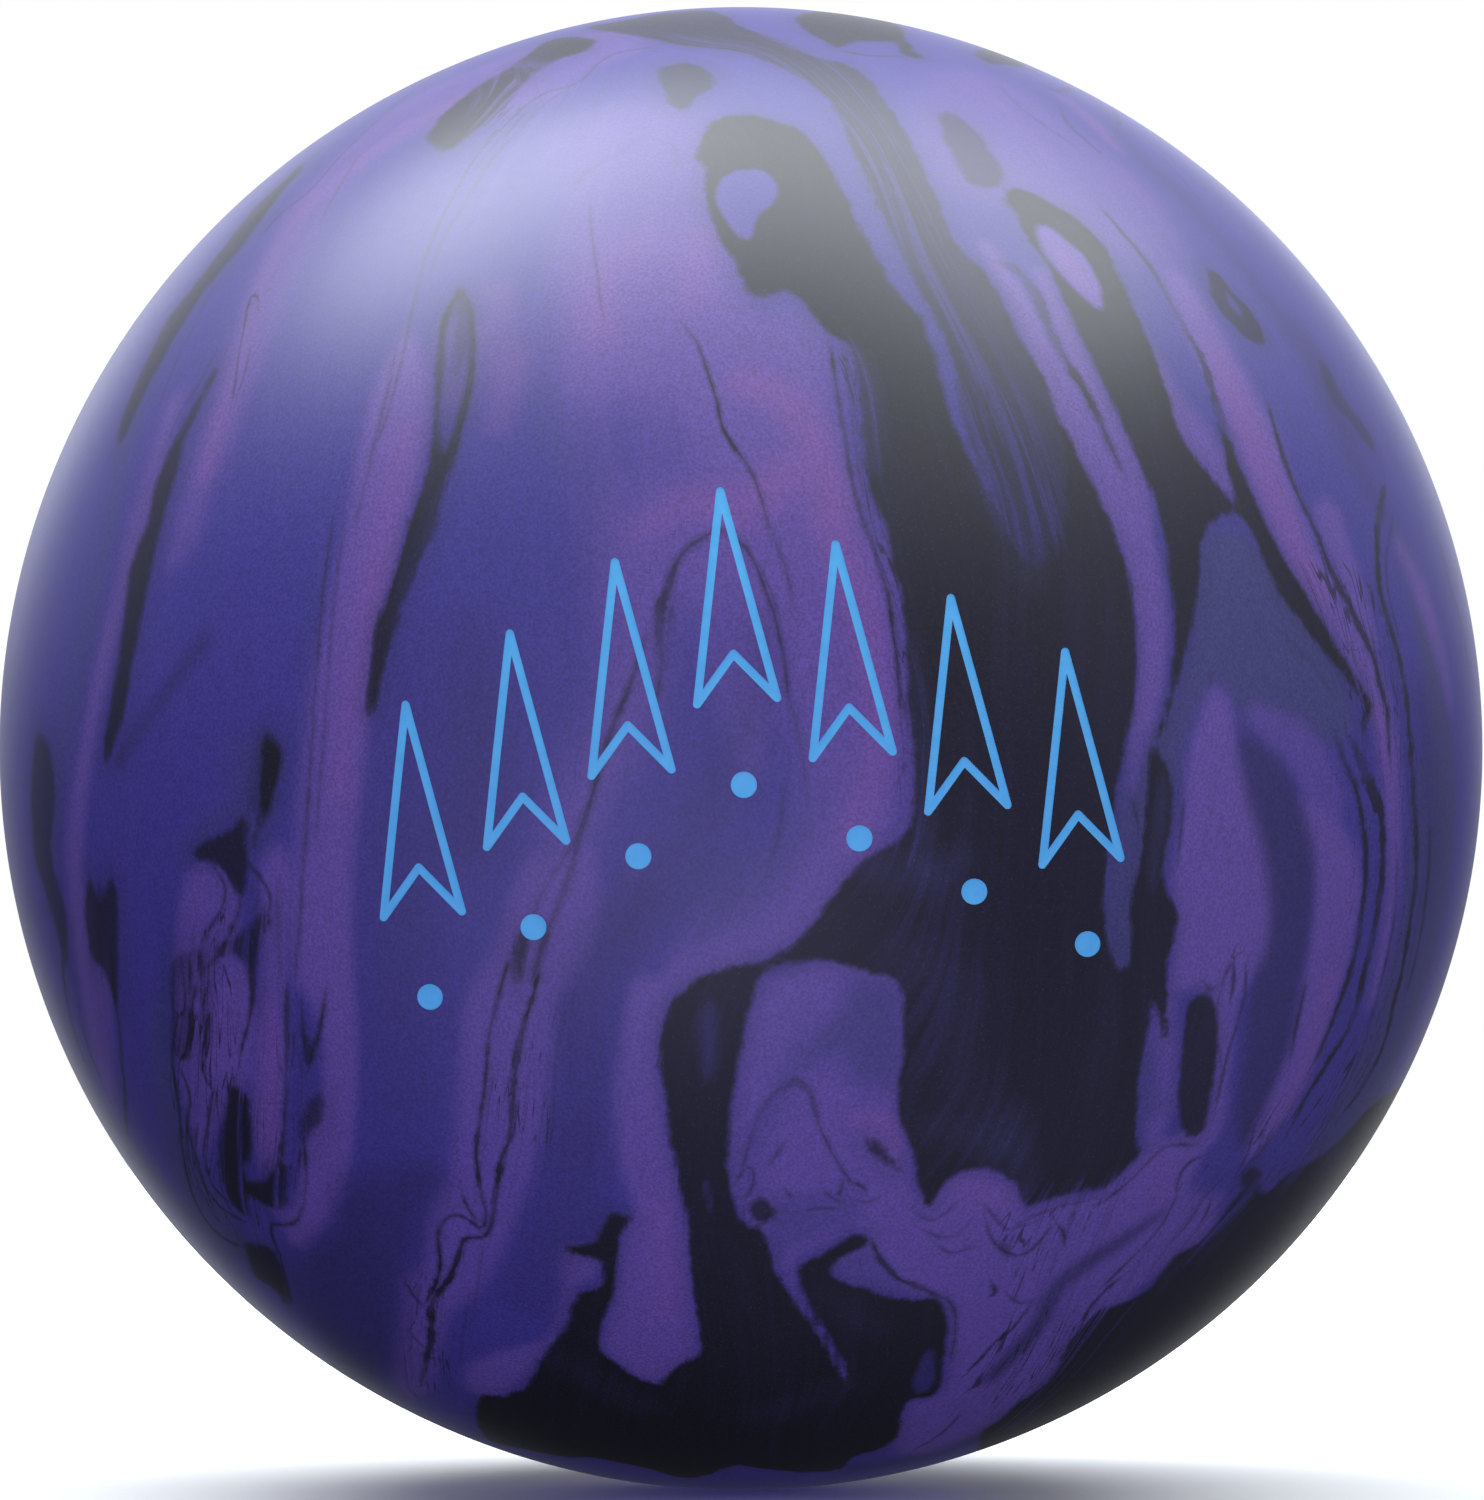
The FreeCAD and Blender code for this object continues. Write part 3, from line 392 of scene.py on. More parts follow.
    (1.9, 0.95, [(1384, 488, 10.8), (1378, 520, 10.8), (1377, 550, 9.3), (1380, 590, 9.3), (1391, 630, 9.3), (1401, 663, 9.3), (1407, 704, 9.3), (1410, 740, 10.8), (1413, 789, 12.4), (1416, 838, 10.8), (1415, 887, 10.8), (1409, 930, 10.8), (1403, 969, 10.8), (1394, 1004, 10.8), (1384, 1046, 9.3), (1366, 1084, 7.8), (1346, 1112, 6.2)]),
    (1.6, 0.45, [(1392, 520, 3), (1386, 560, 3), (1390, 600, 3), (1400, 640, 3)]),
    (2.0, 0.92, [(1352, 742, 12), (1362, 764, 18), (1372, 790, 18), (1380, 812, 15), (1383, 840, 12), (1381, 887, 12), (1373, 936, 12), (1362, 985, 12), (1351, 1026, 10.5), (1326, 1068, 9), (1306, 1100, 7.5), (1294, 1124, 6)]),
    (2.0, 0.85, [(1338, 742, 6), (1343, 757, 7.5), (1356, 789, 7.5), (1362, 822, 9), (1366, 855, 9), (1363, 904, 9), (1356, 953, 9), (1345, 987, 9), (1334, 1020, 7.5), (1316, 1062, 6)]),
    (2.0, 0.70, [(1306, 985, 4.5), (1298, 1020, 4.5), (1290, 1062, 4.5)]),
    (2.2, 0.55, [(1430, 830, 6), (1428, 880, 6), (1420, 940, 6), (1408, 990, 6)]),
    (2.2, 0.55, [(1398, 860, 4.5), (1394, 920, 4.5), (1382, 980, 4.5), (1368, 1030, 4.5)]),
    (2.2, 0.50, [(1441, 545, 4.5), (1450, 585, 4.5), (1463, 630, 4.5), (1468, 670, 4.5)]),
    (2.0, 0.30, [(1330, 690, 3), (1310, 660, 3), (1290, 640, 3)]),
    (1.6, 0.45, [(1184, 800, 3), (1180, 840, 3), (1177, 870, 2)]),
    (1.4, 0.50, [(1132, 800, 2), (1136, 812, 5), (1137, 824, 3)]),
    (1.3, 0.70, [(1205, 985, 2), (1210, 992, 5), (1216, 990, 2)]),
    (1.3, 0.60, [(1222, 985, 3), (1232, 960, 3), (1234, 984, 3), (1230, 1004, 2)]),
    (1.3, 0.60, [(1246, 968, 3), (1244, 1000, 3), (1236, 1030, 3), (1228, 1056, 4), (1222, 1080, 4), (1216, 1108, 3)]),
    (1.3, 0.55, [(1218, 1000, 2), (1218, 1040, 2), (1222, 1070, 3)]),
    (1.3, 0.45, [(1255, 1130, 3), (1246, 1160, 3), (1235, 1180, 3)]),
    (1.5, 0.40, [(1225, 1180, 3), (1205, 1200, 4), (1190, 1224, 3), (1172, 1246, 3)]),
    (1.4, 0.60, [(1210, 1206, 5), (1206, 1218, 6), (1200, 1226, 3)]),
    (1.4, 0.55, [(1176, 1196, 3), (1180, 1178, 5), (1190, 1166, 4), (1200, 1160, 3)]),
    (1.3, 0.65, [(1192, 1148, 3), (1165, 1150, 3), (1148, 1166, 4), (1128, 1186, 4), (1106, 1204, 4), (1092, 1210, 3)]),
    (1.3, 0.50, [(1085, 1205, 3), (1064, 1209, 3), (1046, 1216, 3), (1030, 1222, 4), (1014, 1232, 3)]),
    (1.3, 0.60, [(987, 1226, 3), (990, 1240, 3), (1000, 1252, 4), (1016, 1260, 4), (1032, 1254, 4), (1044, 1240, 3), (1052, 1230, 3)]),
    (1.3, 0.50, [(985, 1210, 3), (996, 1222, 3), (1008, 1234, 3), (1024, 1228, 3), (1040, 1224, 3)]),
    (1.3, 0.60, [(1058, 1228, 4), (1064, 1238, 5), (1064, 1248, 3)]),
    (1.3, 0.45, [(915, 1216, 3), (930, 1224, 3), (944, 1218, 3), (958, 1206, 3)]),
    (1.3, 0.50, [(925, 1234, 3), (942, 1242, 3), (958, 1238, 3), (966, 1228, 3)]),
    (1.3, 0.40, [(938, 1250, 3), (952, 1258, 3), (970, 1252, 3)]),
    (1.5, 0.62, [(1104, 1290, 4), (1128, 1266, 3), (1150, 1244, 3), (1166, 1222, 3), (1178, 1196, 2)]),
    (1.5, 0.75, [(1120, 1282, 4), (1104, 1296, 6), (1090, 1312, 5), (1082, 1328, 3)]),
    (1.3, 0.70, [(1034, 1303, 3), (1024, 1318, 4), (1012, 1334, 3), (996, 1346, 4), (980, 1364, 4), (968, 1376, 3)]),
    (1.3, 0.55, [(1010, 1302, 4), (1020, 1308, 5), (1032, 1304, 3)]),
    (1.3, 0.60, [(992, 1288, 5), (996, 1296, 5), (990, 1302, 2)]),
    (1.3, 0.60, [(972, 1394, 5), (978, 1388, 6), (980, 1380, 3)]),
    (1.6, 0.45, [(960, 1420, 3), (940, 1440, 4), (915, 1455, 3)]),
    (1.5, 0.80, [(872, 1246, 4), (882, 1266, 7), (899, 1284, 7), (922, 1292, 8), (940, 1302, 6)]),
    (1.4, 0.50, [(946, 1300, 3), (955, 1316, 3), (955, 1340, 3), (950, 1366, 2)]),
    # the arch at the bottom middle
    (1.8, 0.50, [(742, 1176, 3), (750, 1142, 4), (760, 1116, 5), (775, 1097, 6), (795, 1085, 9), (808, 1092, 8), (817, 1121, 4), (828, 1148, 3), (843, 1174, 3), (854, 1190, 3)]),
    (1.3, 0.45, [(737, 1186, 2), (744, 1172, 2), (752, 1172, 2), (754, 1186, 2), (748, 1200, 2), (738, 1202, 2)]),
    (1.6, 0.35, [(768, 1170, 4), (778, 1156, 6), (784, 1148, 4)]),
    (1.3, 0.45, [(843, 1184, 3), (842, 1194, 4), (836, 1200, 3)]),
    (1.3, 0.55, [(852, 1186, 3), (862, 1190, 5), (866, 1196, 3)]),
    (1.3, 0.40, [(808, 1213, 2.5), (822, 1212, 2.5), (836, 1213, 2.5)]),
    (1.3, 0.40, [(784, 1192, 3), (790, 1200, 4), (796, 1200, 2)]),
    (1.3, 0.45, [(826, 1194, 3), (832, 1202, 4), (842, 1206, 2)]),
    (1.3, 0.35, [(858, 1204, 3), (868, 1206, 3), (880, 1200, 2)]),
    (1.5, 0.40, [(1000, 82, 3), (1022, 104, 3), (1045, 121, 3), (1068, 137, 3)]),
    (1.5, 0.40, [(1056, 94, 3), (1066, 116, 3), (1084, 134, 3), (1100, 148, 3)]),
    (2.2, 0.50, [(1042, 78, 5), (1054, 86, 7), (1072, 84, 4)]),
    (1.5, 0.35, [(1110, 100, 3), (1118, 120, 3), (1112, 136, 2)]),
    (1.5, 0.25, [(1160, 150, 3), (1180, 172, 3), (1200, 196, 2)]),
    (1.3, 0.60, [(846, 46, 4), (868, 50, 4), (886, 51, 4), (905, 50, 4)]),
]

DARK.append((5, 0.88, [(588, 21), (622, 15), (666, 7), (712, 5), (740, 20), (778, 36), (802, 46), (824, 54), (846, 58), (866, 72), (882, 92), (899, 118), (915, 144), (925, 170), (938, 196), (948, 222), (961, 245), (980, 265), (996, 288), (1009, 310), (1022, 337), (1036, 360), (1049, 386), (1058, 412), (1068, 440), (1072, 480), (1066, 530), (1045, 570), (1020, 556), (1000, 510), (985, 478), (973, 446), (964, 420), (958, 392), (950, 352), (937, 320), (920, 286), (903, 252), (885, 215), (868, 180), (853, 150), (844, 122), (828, 96), (806, 76), (782, 62), (751, 50), (719, 44), (686, 40), (653, 34), (621, 28), (600, 25)]))

# Flow lines of the pours, from the ball's left to its right. Streaks run along them.
FLOW = [
    [(330, 130), (190, 300), (110, 480), (70, 660), (50, 800), (60, 950), (100, 1090), (200, 1270)],
    [(350, 150), (213, 365), (160, 495), (130, 650), (105, 760), (110, 900), (122, 1100), (200, 1240)],
    [(400, 120), (262, 260), (240, 400), (220, 600), (200, 800), (185, 1000), (190, 1180), (260, 1300)],
    [(440, 110), (330, 300), (310, 600), (290, 900), (290, 1150), (300, 1330)],
    [(529, 98), (458, 183), (408, 327), (370, 480), (350, 700), (345, 950), (340, 1200), (350, 1370)],
    [(560, 85), (460, 285), (430, 480), (380, 650), (380, 900), (400, 1150), (400, 1400)],
    [(600, 80), (520, 300), (480, 600), (470, 900), (450, 1150), (430, 1400)],
    [(640, 80), (590, 300), (590, 500), (600, 780), (540, 960), (505, 1150), (480, 1430)],
    [(670, 110), (650, 350), (665, 600), (650, 800), (600, 1000), (560, 1250), (520, 1440)],
    [(690, 130), (684, 322), (722, 424), (765, 512), (790, 600), (788, 760), (700, 1000), (650, 1200), (620, 1460)],
    [(600, 40), (703, 131), (716, 226), (768, 293), (832, 346), (850, 462), (880, 568), (900, 700), (880, 860), (740, 1010), (720, 1200), (740, 1480)],
    [(588, 23), (686, 38), (751, 50), (846, 130), (899, 255), (950, 392), (1000, 520), (1010, 700), (1000, 900), (960, 1150), (850, 1300), (800, 1480)],
    [(700, 8), (846, 58), (938, 196), (1009, 310), (1081, 458), (1120, 560), (1130, 700), (1110, 900), (1100, 1100), (1000, 1300), (880, 1480)],
    [(860, 10), (1000, 150), (1068, 209), (1134, 304), (1179, 425), (1190, 560), (1165, 740), (1160, 900), (1160, 1100), (1100, 1260), (960, 1460)],
    [(940, 40), (1117, 222), (1202, 356), (1245, 490), (1320, 640), (1350, 740), (1365, 880), (1350, 1000), (1290, 1120), (1180, 1260), (1020, 1430)],
    [(1060, 90), (1210, 250), (1300, 400), (1380, 540), (1405, 700), (1414, 880), (1384, 1046), (1300, 1180), (1150, 1340)],
    [(1150, 130), (1300, 270), (1400, 430), (1455, 600), (1470, 750), (1450, 900), (1400, 1080), (1300, 1210), (1150, 1380)],
]


# ---- the coverstock's mesh ----------------------------------------------------------------------
def new_mesh(name, verts, faces):
    """An object from points in mm."""
    me = bpy.data.meshes.new(name)
    me.from_pydata((np.asarray(verts, float) * MM).tolist(), [], faces)
    me.validate()
    ob = bpy.data.objects.new(name, me)
    scene.collection.objects.link(ob)
    return ob


def cube_sphere(n, radius, squeeze):
    """A closed ball of six n x n patches, with its points drawn towards the front (-Y) by the factor squeeze."""
    a = np.tan(np.linspace(-math.pi / 4, math.pi / 4, n + 1))
    ids, pts, faces = {}, [], []
    for axis in range(3):
        for sign in (1.0, -1.0):
            grid = np.empty((n + 1, n + 1), int)
            for i in range(n + 1):
                for j in range(n + 1):
                    p = [0.0, 0.0, 0.0]
                    p[axis], p[(axis + 1) % 3], p[(axis + 2) % 3] = sign, sign * a[i], a[j]
                    if i in (0, n) or j in (0, n):
                        key = (round(p[0], 7), round(p[1], 7), round(p[2], 7))
                        k = ids.get(key)
                        if k is None:
                            k = ids[key] = len(pts)
                            pts.append(p)
                    else:
                        k = len(pts)
                        pts.append(p)
                    grid[i, j] = k
            q = np.stack([grid[:-1, :-1], grid[1:, :-1], grid[1:, 1:], grid[:-1, 1:]], -1).reshape(-1, 4)
            faces.append(q)
    p = np.array(pts)
    p /= np.linalg.norm(p, axis=1)[:, None]
    th, ph = np.arccos(np.clip(-p[:, 1], -1, 1)), np.arctan2(p[:, 2], p[:, 0])
    th = 2 * np.arctan(np.tan(np.minimum(th, math.pi - 1e-9) / 2) / squeeze)
    p = np.stack([np.sin(th) * np.cos(ph), -np.cos(th), np.sin(th) * np.sin(ph)], -1) * radius
    f = np.concatenate(faces)
    c = p[f]
    out = (np.cross(c[:, 2] - c[:, 0], c[:, 3] - c[:, 1]) * c.mean(1)).sum(1) > 0
    f[~out] = f[~out][:, ::-1]
    return p, f


ARROWS, PITCH, STEP, ARROW_W, ARROW_H, NOTCH, TOP = 7, 15.2, 8.6, 11.0, 29.0, 6.5, 35.5
DOT_D, DOT_GAP, TILT = 3.6, 11.5, math.radians(4.6)


def tilt(x, z):
    return x * math.cos(TILT) - z * math.sin(TILT), x * math.sin(TILT) + z * math.cos(TILT)


def ring_pairs(points, h, step):
    """Pairs of points on the two edges of a stroke of half width h along a closed outline that is clockwise in x, z."""
    pts = [np.array(p, float) for p in points]
    n, pairs = len(pts), []
    for i in range(n):
        a, b, c = pts[i - 1], pts[i], pts[(i + 1) % n]
        u, v = (b - a) / np.linalg.norm(b - a), (c - b) / np.linalg.norm(c - b)
        nu, nv = np.array([-u[1], u[0]]), np.array([-v[1], v[0]])      # left of travel: outside when clockwise
        turn = u[0] * v[1] - u[1] * v[0]
        m = (nu + nv) / (1 + nu @ nv)
        miter = (1 if turn < 0 else -1)
        k = max(2, int(round(abs(math.atan2(turn, u @ v)) / 0.35)))
        a0 = math.atan2(nu[1], nu[0])
        sweep = math.atan2(turn, u @ v)
        for j in range(k + 1):
            t = a0 + sweep * j / k
            arc = np.array([math.cos(t), math.sin(t)])
            if miter > 0:        # right turn: round on the left (outer) side, mitred on the inner
                pairs.append((b + arc * h, b - m * h))
            else:
                pairs.append((b + m * h, b - arc * h))
        s0, s1 = (b + nv * h, b - nv * h) if miter > 0 else (b + m * h, b - nv * h)
        nxt = pts[(i + 2) % n]
        w = (nxt - c) / np.linalg.norm(nxt - c)
        t2 = v[0] * w[1] - v[1] * w[0]
        m2 = (nv + np.array([-w[1], w[0]])) / (1 + nv @ np.array([-w[1], w[0]]))
        e0, e1 = (c + nv * h, c - m2 * h) if t2 < 0 else (c + m2 * h, c - nv * h)
        s1 = b - m * h if miter > 0 else s1
        cnt = max(1, int(np.linalg.norm(c - b) / step))
        for j in range(1, cnt):
            t = j / cnt
            pairs.append((s0 * (1 - t) + e0 * t, s1 * (1 - t) + e1 * t))
    return pairs


def arrow_outline(i):
    x, tip = PITCH * i, TOP - STEP * abs(i)
    return [(x, tip), (x + ARROW_W / 2, tip - ARROW_H), (x, tip - ARROW_H + NOTCH), (x - ARROW_W / 2, tip - ARROW_H)]


def on_front(x, z, radius):
    x, z = tilt(x, z)
    return (x, -math.sqrt(radius * radius - x * x - z * z), z)


class Builder:
    """Collects points and faces, and shares equal points."""

    def __init__(self):
        self.ids, self.v, self.f = {}, [], []

    def p(self, co):
        k = tuple(round(c, 5) for c in co)
        if k not in self.ids:
            self.ids[k] = len(self.v)
            self.v.append(k)
        return self.ids[k]

    def face(self, *cos):
        q = []
        for c in cos:
            i = self.p(c)
            if i not in q:
                q.append(i)
        if len(q) >= 3:
            self.f.append(q)


def section_ring(build, pairs, profile, close):
    """Carries a closed cross-section round a ring. profile(outer, inner) gives its points in order."""
    rows = [profile(*q) for q in pairs]
    n, m = len(rows), len(rows[0])
    for i in range(n if close else n - 1):
        a, b = rows[i], rows[(i + 1) % n]
        for j in range(m):
            build.face(a[j], b[j], b[(j + 1) % m], a[(j + 1) % m])


def cutter_profile(o, i):
    bottom, top = R - GROOVE_DEPTH, R + 1.5
    return [on_front(*o, top), on_front(*i, top), on_front(*i, bottom), on_front(*o, bottom)]


def ink_profile(o, i):
    """The ink climbs a little at both walls of its groove."""
    o, i = np.array(o), np.array(i)
    pts = []
    for s, r in ((0.0, 0.05), (0.10, 0.012), (0.28, -0.018), (0.5, -0.026), (0.72, -0.018), (0.90, 0.012), (1.0, 0.05)):
        q = o * (1 - s) + i * s
        pts.append(on_front(q[0], q[1], R - INK_SUNK + r))
    pts.append(on_front(*i, R - GROOVE_DEPTH))
    pts.append(on_front(*o, R - GROOVE_DEPTH))
    return pts


def disc_rings(build, place, rad, profile, n=36):
    """A turned piece on a face: profile is (radius, height) from the middle of its top to the middle of its bottom."""
    rows = [[place(r * math.cos(2 * math.pi * k / n), r * math.sin(2 * math.pi * k / n), h) for k in range(n)] for r, h in profile]
    for a, b in zip(rows, rows[1:]):
        for k in range(n):
            build.face(a[k], b[k], b[(k + 1) % n], a[(k + 1) % n])


def outward(ob):
    bm = bmesh.new()
    bm.from_mesh(ob.data)
    bmesh.ops.recalc_face_normals(bm, faces=bm.faces)
    bm.to_mesh(ob.data)
    bm.free()


HALF = (ARROWS - 1) // 2
cut, ink_a, ink_d, ink_m = Builder(), Builder(), Builder(), Builder()
for i in range(-HALF, HALF + 1):
    pairs = ring_pairs(arrow_outline(i), STROKE / 2, 0.9)
    section_ring(cut, pairs, cutter_profile, True)
    section_ring(ink_a, pairs, ink_profile, True)
    x0, z0 = PITCH * i, TOP - STEP * abs(i) - ARROW_H - DOT_GAP

    def place(x, z, level, x0=x0, z0=z0):
        return on_front(x0 + x, z0 + z, level)

    rd = DOT_D / 2
    disc_rings(cut, place, rd, [(0, R + 1.5), (rd, R + 1.5), (rd, R - GROOVE_DEPTH), (rd * 0.5, R - GROOVE_DEPTH), (0, R - GROOVE_DEPTH)])
    top = R - INK_SUNK
    disc_rings(ink_d, place, rd, [(0, top - 0.035), (rd * 0.4, top - 0.032), (rd * 0.75, top - 0.015), (rd * 0.92, top + 0.012), (rd, top + 0.05), (rd, R - GROOVE_DEPTH), (rd * 0.5, R - GROOVE_DEPTH), (0, R - GROOVE_DEPTH)])

MARK_A = 76.0 / R       # centre-of-gravity ring: angle from the pin towards the back


def on_mark(x, z, level):
    """A point beside the middle of the ring, square to the ball there, at that distance from the centre."""
    h = math.sqrt(level * level - x * x - z * z)
    y, zz = z, h
    c, s = math.cos(-MARK_A), math.sin(-MARK_A)
    return (x, y * c - zz * s, y * s + zz * c)


def mark_ring(build, top_profile):
    n = 60
    rows = []
    for k in range(n):
        t = 2 * math.pi * k / n
        rows.append([on_mark(r * math.cos(t), r * math.sin(t), lev) for r, lev in top_profile])
    m = len(rows[0])
    for k in range(n):
        a, b = rows[k], rows[(k + 1) % n]
        for j in range(m):
            build.face(a[j], b[j], b[(j + 1) % m], a[(j + 1) % m])


mark_ring(cut, [(3.5, R + 1.5), (2.5, R + 1.5), (2.5, R - GROOVE_DEPTH), (3.5, R - GROOVE_DEPTH)])
mark_ring(ink_m, [(3.5, top + 0.05), (3.38, top + 0.012), (3.2, top - 0.015), (3.0, top - 0.022), (2.8, top - 0.015), (2.62, top + 0.012), (2.5, top + 0.05), (2.5, R - GROOVE_DEPTH), (3.5, R - GROOVE_DEPTH)])


def pin_place(x, y, level):
    return (x, y, level)


disc_rings(cut, pin_place, PIN_R, [(0, 130.0), (PIN_R, 130.0), (PIN_R, 70.0), (0, 70.0)], n=96)

outer_p, outer_f = cube_sphere(116, R, 1.7)
inner_p, inner_f = cube_sphere(28, CORE_R, 1.0)
shell = new_mesh("coverstock_marbled", np.concatenate([outer_p, inner_p]), outer_f.tolist() + (inner_f[:, ::-1] + len(outer_p)).tolist())
cutter = new_mesh("groove_tools", cut.v, cut.f)
outward(cutter)
mod = shell.modifiers.new("grooves", "BOOLEAN")
mod.operation, mod.solver, mod.object = "DIFFERENCE", "MANIFOLD", cutter
bpy.context.view_layer.update()
made = bpy.data.meshes.new_from_object(shell.evaluated_get(bpy.context.evaluated_depsgraph_get()))
shell.modifiers.clear()
shell.data = made
made.name = "coverstock_marbled"
bpy.data.objects.remove(cutter)

co = np.empty(len(made.vertices) * 3)
made.vertices.foreach_get("co", co)
co = co.reshape(-1, 3) / MM
print("shell points", len(co), "faces", len(made.polygons), "radius", np.linalg.norm(co, axis=1).min(), np.linalg.norm(co, axis=1).max())

# ---- the pours as fields on the shell's points --------------------------------------------------
rad = np.linalg.norm(co, axis=1)
unit = co / rad[:, None]
theta = np.arccos(np.clip(-unit[:, 1], -1, 1))
phi = np.arctan2(unit[:, 2], unit[:, 0])
skin = rad > R - 2.0                                   # the outer surface and its grooves
N = len(co)
FRONT = np.where(skin & (theta < math.radians(106)))[0]
P = flat(theta[FRONT], phi[FRONT])
CF = np.cos(theta[FRONT] / 2) ** 2                     # plane mm to surface mm
PX = 1 / 7.31                                          # one view point in mm, at the front of the ball


def near_box(curve, margin):
    lo, hi = curve.min(0) - margin, curve.max(0) + margin
    return np.where(((P > lo) & (P < hi)).all(1))[0]


def shape_distance(points, k=None, margin=14):
    """Signed surface distance (mm, + inside) of the front points to a closed outline."""
    c = smooth(from_view(points), True)
    k = near_box(c, margin) if k is None else k
    d, _, _, _ = nearest(P[k], c, np.roll(c, -1, 0))
    return k, np.where(inside(P[k], c), d, -d) * CF[k]


def band_distance(points, margin=20):
    """Distance to a band's middle line, its half width there, its side and the share of its length."""
    q = np.asarray(points, float)
    c, w = smooth(from_view(q[:, :2]), False, extra=q[:, 2])
    k = near_box(c, margin)
    d, seg, at, side = nearest(P[k], c[:-1], c[1:])
    half = (w[seg, 0] * (1 - at) + w[np.minimum(seg + 1, len(w) - 1), 0] * at) * PX / 2
    return k, d * CF[k], half, side, (seg + at) / (len(c) - 1)


# seeded gradient noise, used for the back of the ball
def lattice_noise(p, seed):
    rng = np.random.RandomState(seed)
    perm = rng.permutation(256)
    perm = np.concatenate([perm, perm, perm])
    g = rng.normal(size=(256, 3))
    g /= np.linalg.norm(g, axis=1)[:, None]
    i = np.floor(p).astype(int)
    f = p - i
    u = f * f * f * (f * (f * 6 - 15) + 10)
    i &= 255
    out = 0
    for dx in (0, 1):
        for dy in (0, 1):
            for dz in (0, 1):
                h = perm[perm[perm[(i[:, 0] + dx) & 255] + ((i[:, 1] + dy) & 255)] + ((i[:, 2] + dz) & 255)]
                v = (g[h] * (f - [dx, dy, dz])).sum(1)
                w = (u[:, 0] if dx else 1 - u[:, 0]) * (u[:, 1] if dy else 1 - u[:, 1]) * (u[:, 2] if dz else 1 - u[:, 2])
                out = out + v * w
    return out * 1.6


def layered(p, seed, octaves=3):
    s, a, out = 1.0, 1.0, 0.0
    for o in range(octaves):
        out = out + a * lattice_noise(p * s + 17.3 * o, seed + o)
        s, a = s * 2.1, a * 0.48
    return out


def back_point(p):
    """The pours' own coordinates on the back: drawn out from top to bottom, and stirred."""
    q = p / np.array([27.0, 27.0, 78.0])
    s = p / 62.0
    stir = np.stack([lattice_noise(s + k * 5.1, 70 + k) for k in range(3)], -1)
    s2 = p / 30.0
    stir2 = np.stack([lattice_noise(s2 + k * 7.7, 80 + k) for k in range(3)], -1)
    return q + stir * np.array([1.05, 1.05, 0.35]) + stir2 * np.array([0.30, 0.30, 0.18])


def back_field(fn, p):
    """fn's value and its distance to zero in mm, along the surface."""
    e = 0.25
    v = fn(p)
    n = p / np.linalg.norm(p, axis=1)[:, None]
    grad = np.stack([(fn(p + np.eye(3)[k] * e) - v) / e for k in range(3)], -1)
    grad -= (grad * n).sum(1)[:, None] * n
    return v, v / np.maximum(np.linalg.norm(grad, axis=1), 0.012)


def put(name, kind, values, where=None):
    full = np.zeros((N, values.shape[1]) if values.ndim == 2 else N, np.float32)
    if where is None:
        full[:] = values
    else:
        full[where] = values
    att = made.attributes.new(name, kind, "POINT")
    att.data.foreach_set({"FLOAT": "value", "FLOAT_VECTOR": "vector", "FLOAT_COLOR": "color"}[kind], full.ravel())


# pigments, painted in order
SLOT = {"V": 0, "P": 1, "S": 2, "D": 3}
tint = np.zeros((len(FRONT), 4))
for pig, soft, strength, kind, pts in BASE:
    s = soft * PX
    if kind == "shape":
        k, d = shape_distance(pts, margin=14 + s)
        a = strength * ramp(d, -s, s)
    else:
        k, d, half, _, at = band_distance(pts, margin=24 + s)
        a = strength * ramp(half - d, -s, s)
    if pig == "I":
        tint[k] *= (1 - a)[:, None]
    else:
        j = SLOT[pig]
        if pig in "VS":
            for o in (0, 2) if pig == "V" else (0, 1, 2):
                if o != j:
                    tint[k, o] *= 1 - a
        tint[k, j] += (1 - tint[k, j]) * a

# dark pours, and the openings in them
def closest(shapes):
    d = np.full(len(FRONT), -9.0)
    soft = np.full(len(FRONT), 1.0)
    force = np.full(len(FRONT), 1.0)
    for s, strength, pts in shapes:
        k, dd = shape_distance(pts)
        better = dd > d[k]
        kk = k[better]
        d[kk], soft[kk], force[kk] = dd[better], s * PX, strength
    return np.stack([np.clip(d, -9, 9), soft, force], -1)


dark, hole = closest(DARK), closest(HOLES)

drift = np.zeros(len(FRONT))
for soft, amount, pts in DRIFT:
    k, d, half, _, _ = band_distance(pts)
    drift[k] += amount * ramp(half + soft * PX - d, 0, half + soft * PX)

# veins, shared out over a few channels so that neighbours don't meet in one
CHANNELS = 6
veins = [np.tile([9.0, 0.2, 0.0], (len(FRONT), 1)) for _ in range(CHANNELS)]
gap = [np.full(len(FRONT), 99.0) for _ in range(CHANNELS)]
blur = [np.full(len(FRONT), 0.25) for _ in range(CHANNELS)]
for soft, strength, pts in VEIN:
    k, d, half, side, at = band_distance(pts, margin=12)
    length = len(smooth(from_view(np.asarray(pts, float)[:, :2]), False)) * 2.2
    end = ramp(np.minimum(at, 1 - at) * length, -0.6, 2.6)
    reach = 1 - ramp(d - half, 1.9, 3.1)
    use = reach > 0
    kk = k[use]
    cost = [float((veins[c][kk, 2] > 0).sum()) for c in range(CHANNELS)]
    c = int(np.argmin(cost))
    better = d[use] < gap[c][kk]
    sel = kk[better]
    gap[c][sel] = d[use][better]
    veins[c][sel] = np.stack([(d * side)[use][better], half[use][better], (strength * reach * (0.25 + 0.75 * end))[use][better]], -1)
    blur[c][sel] = soft * PX

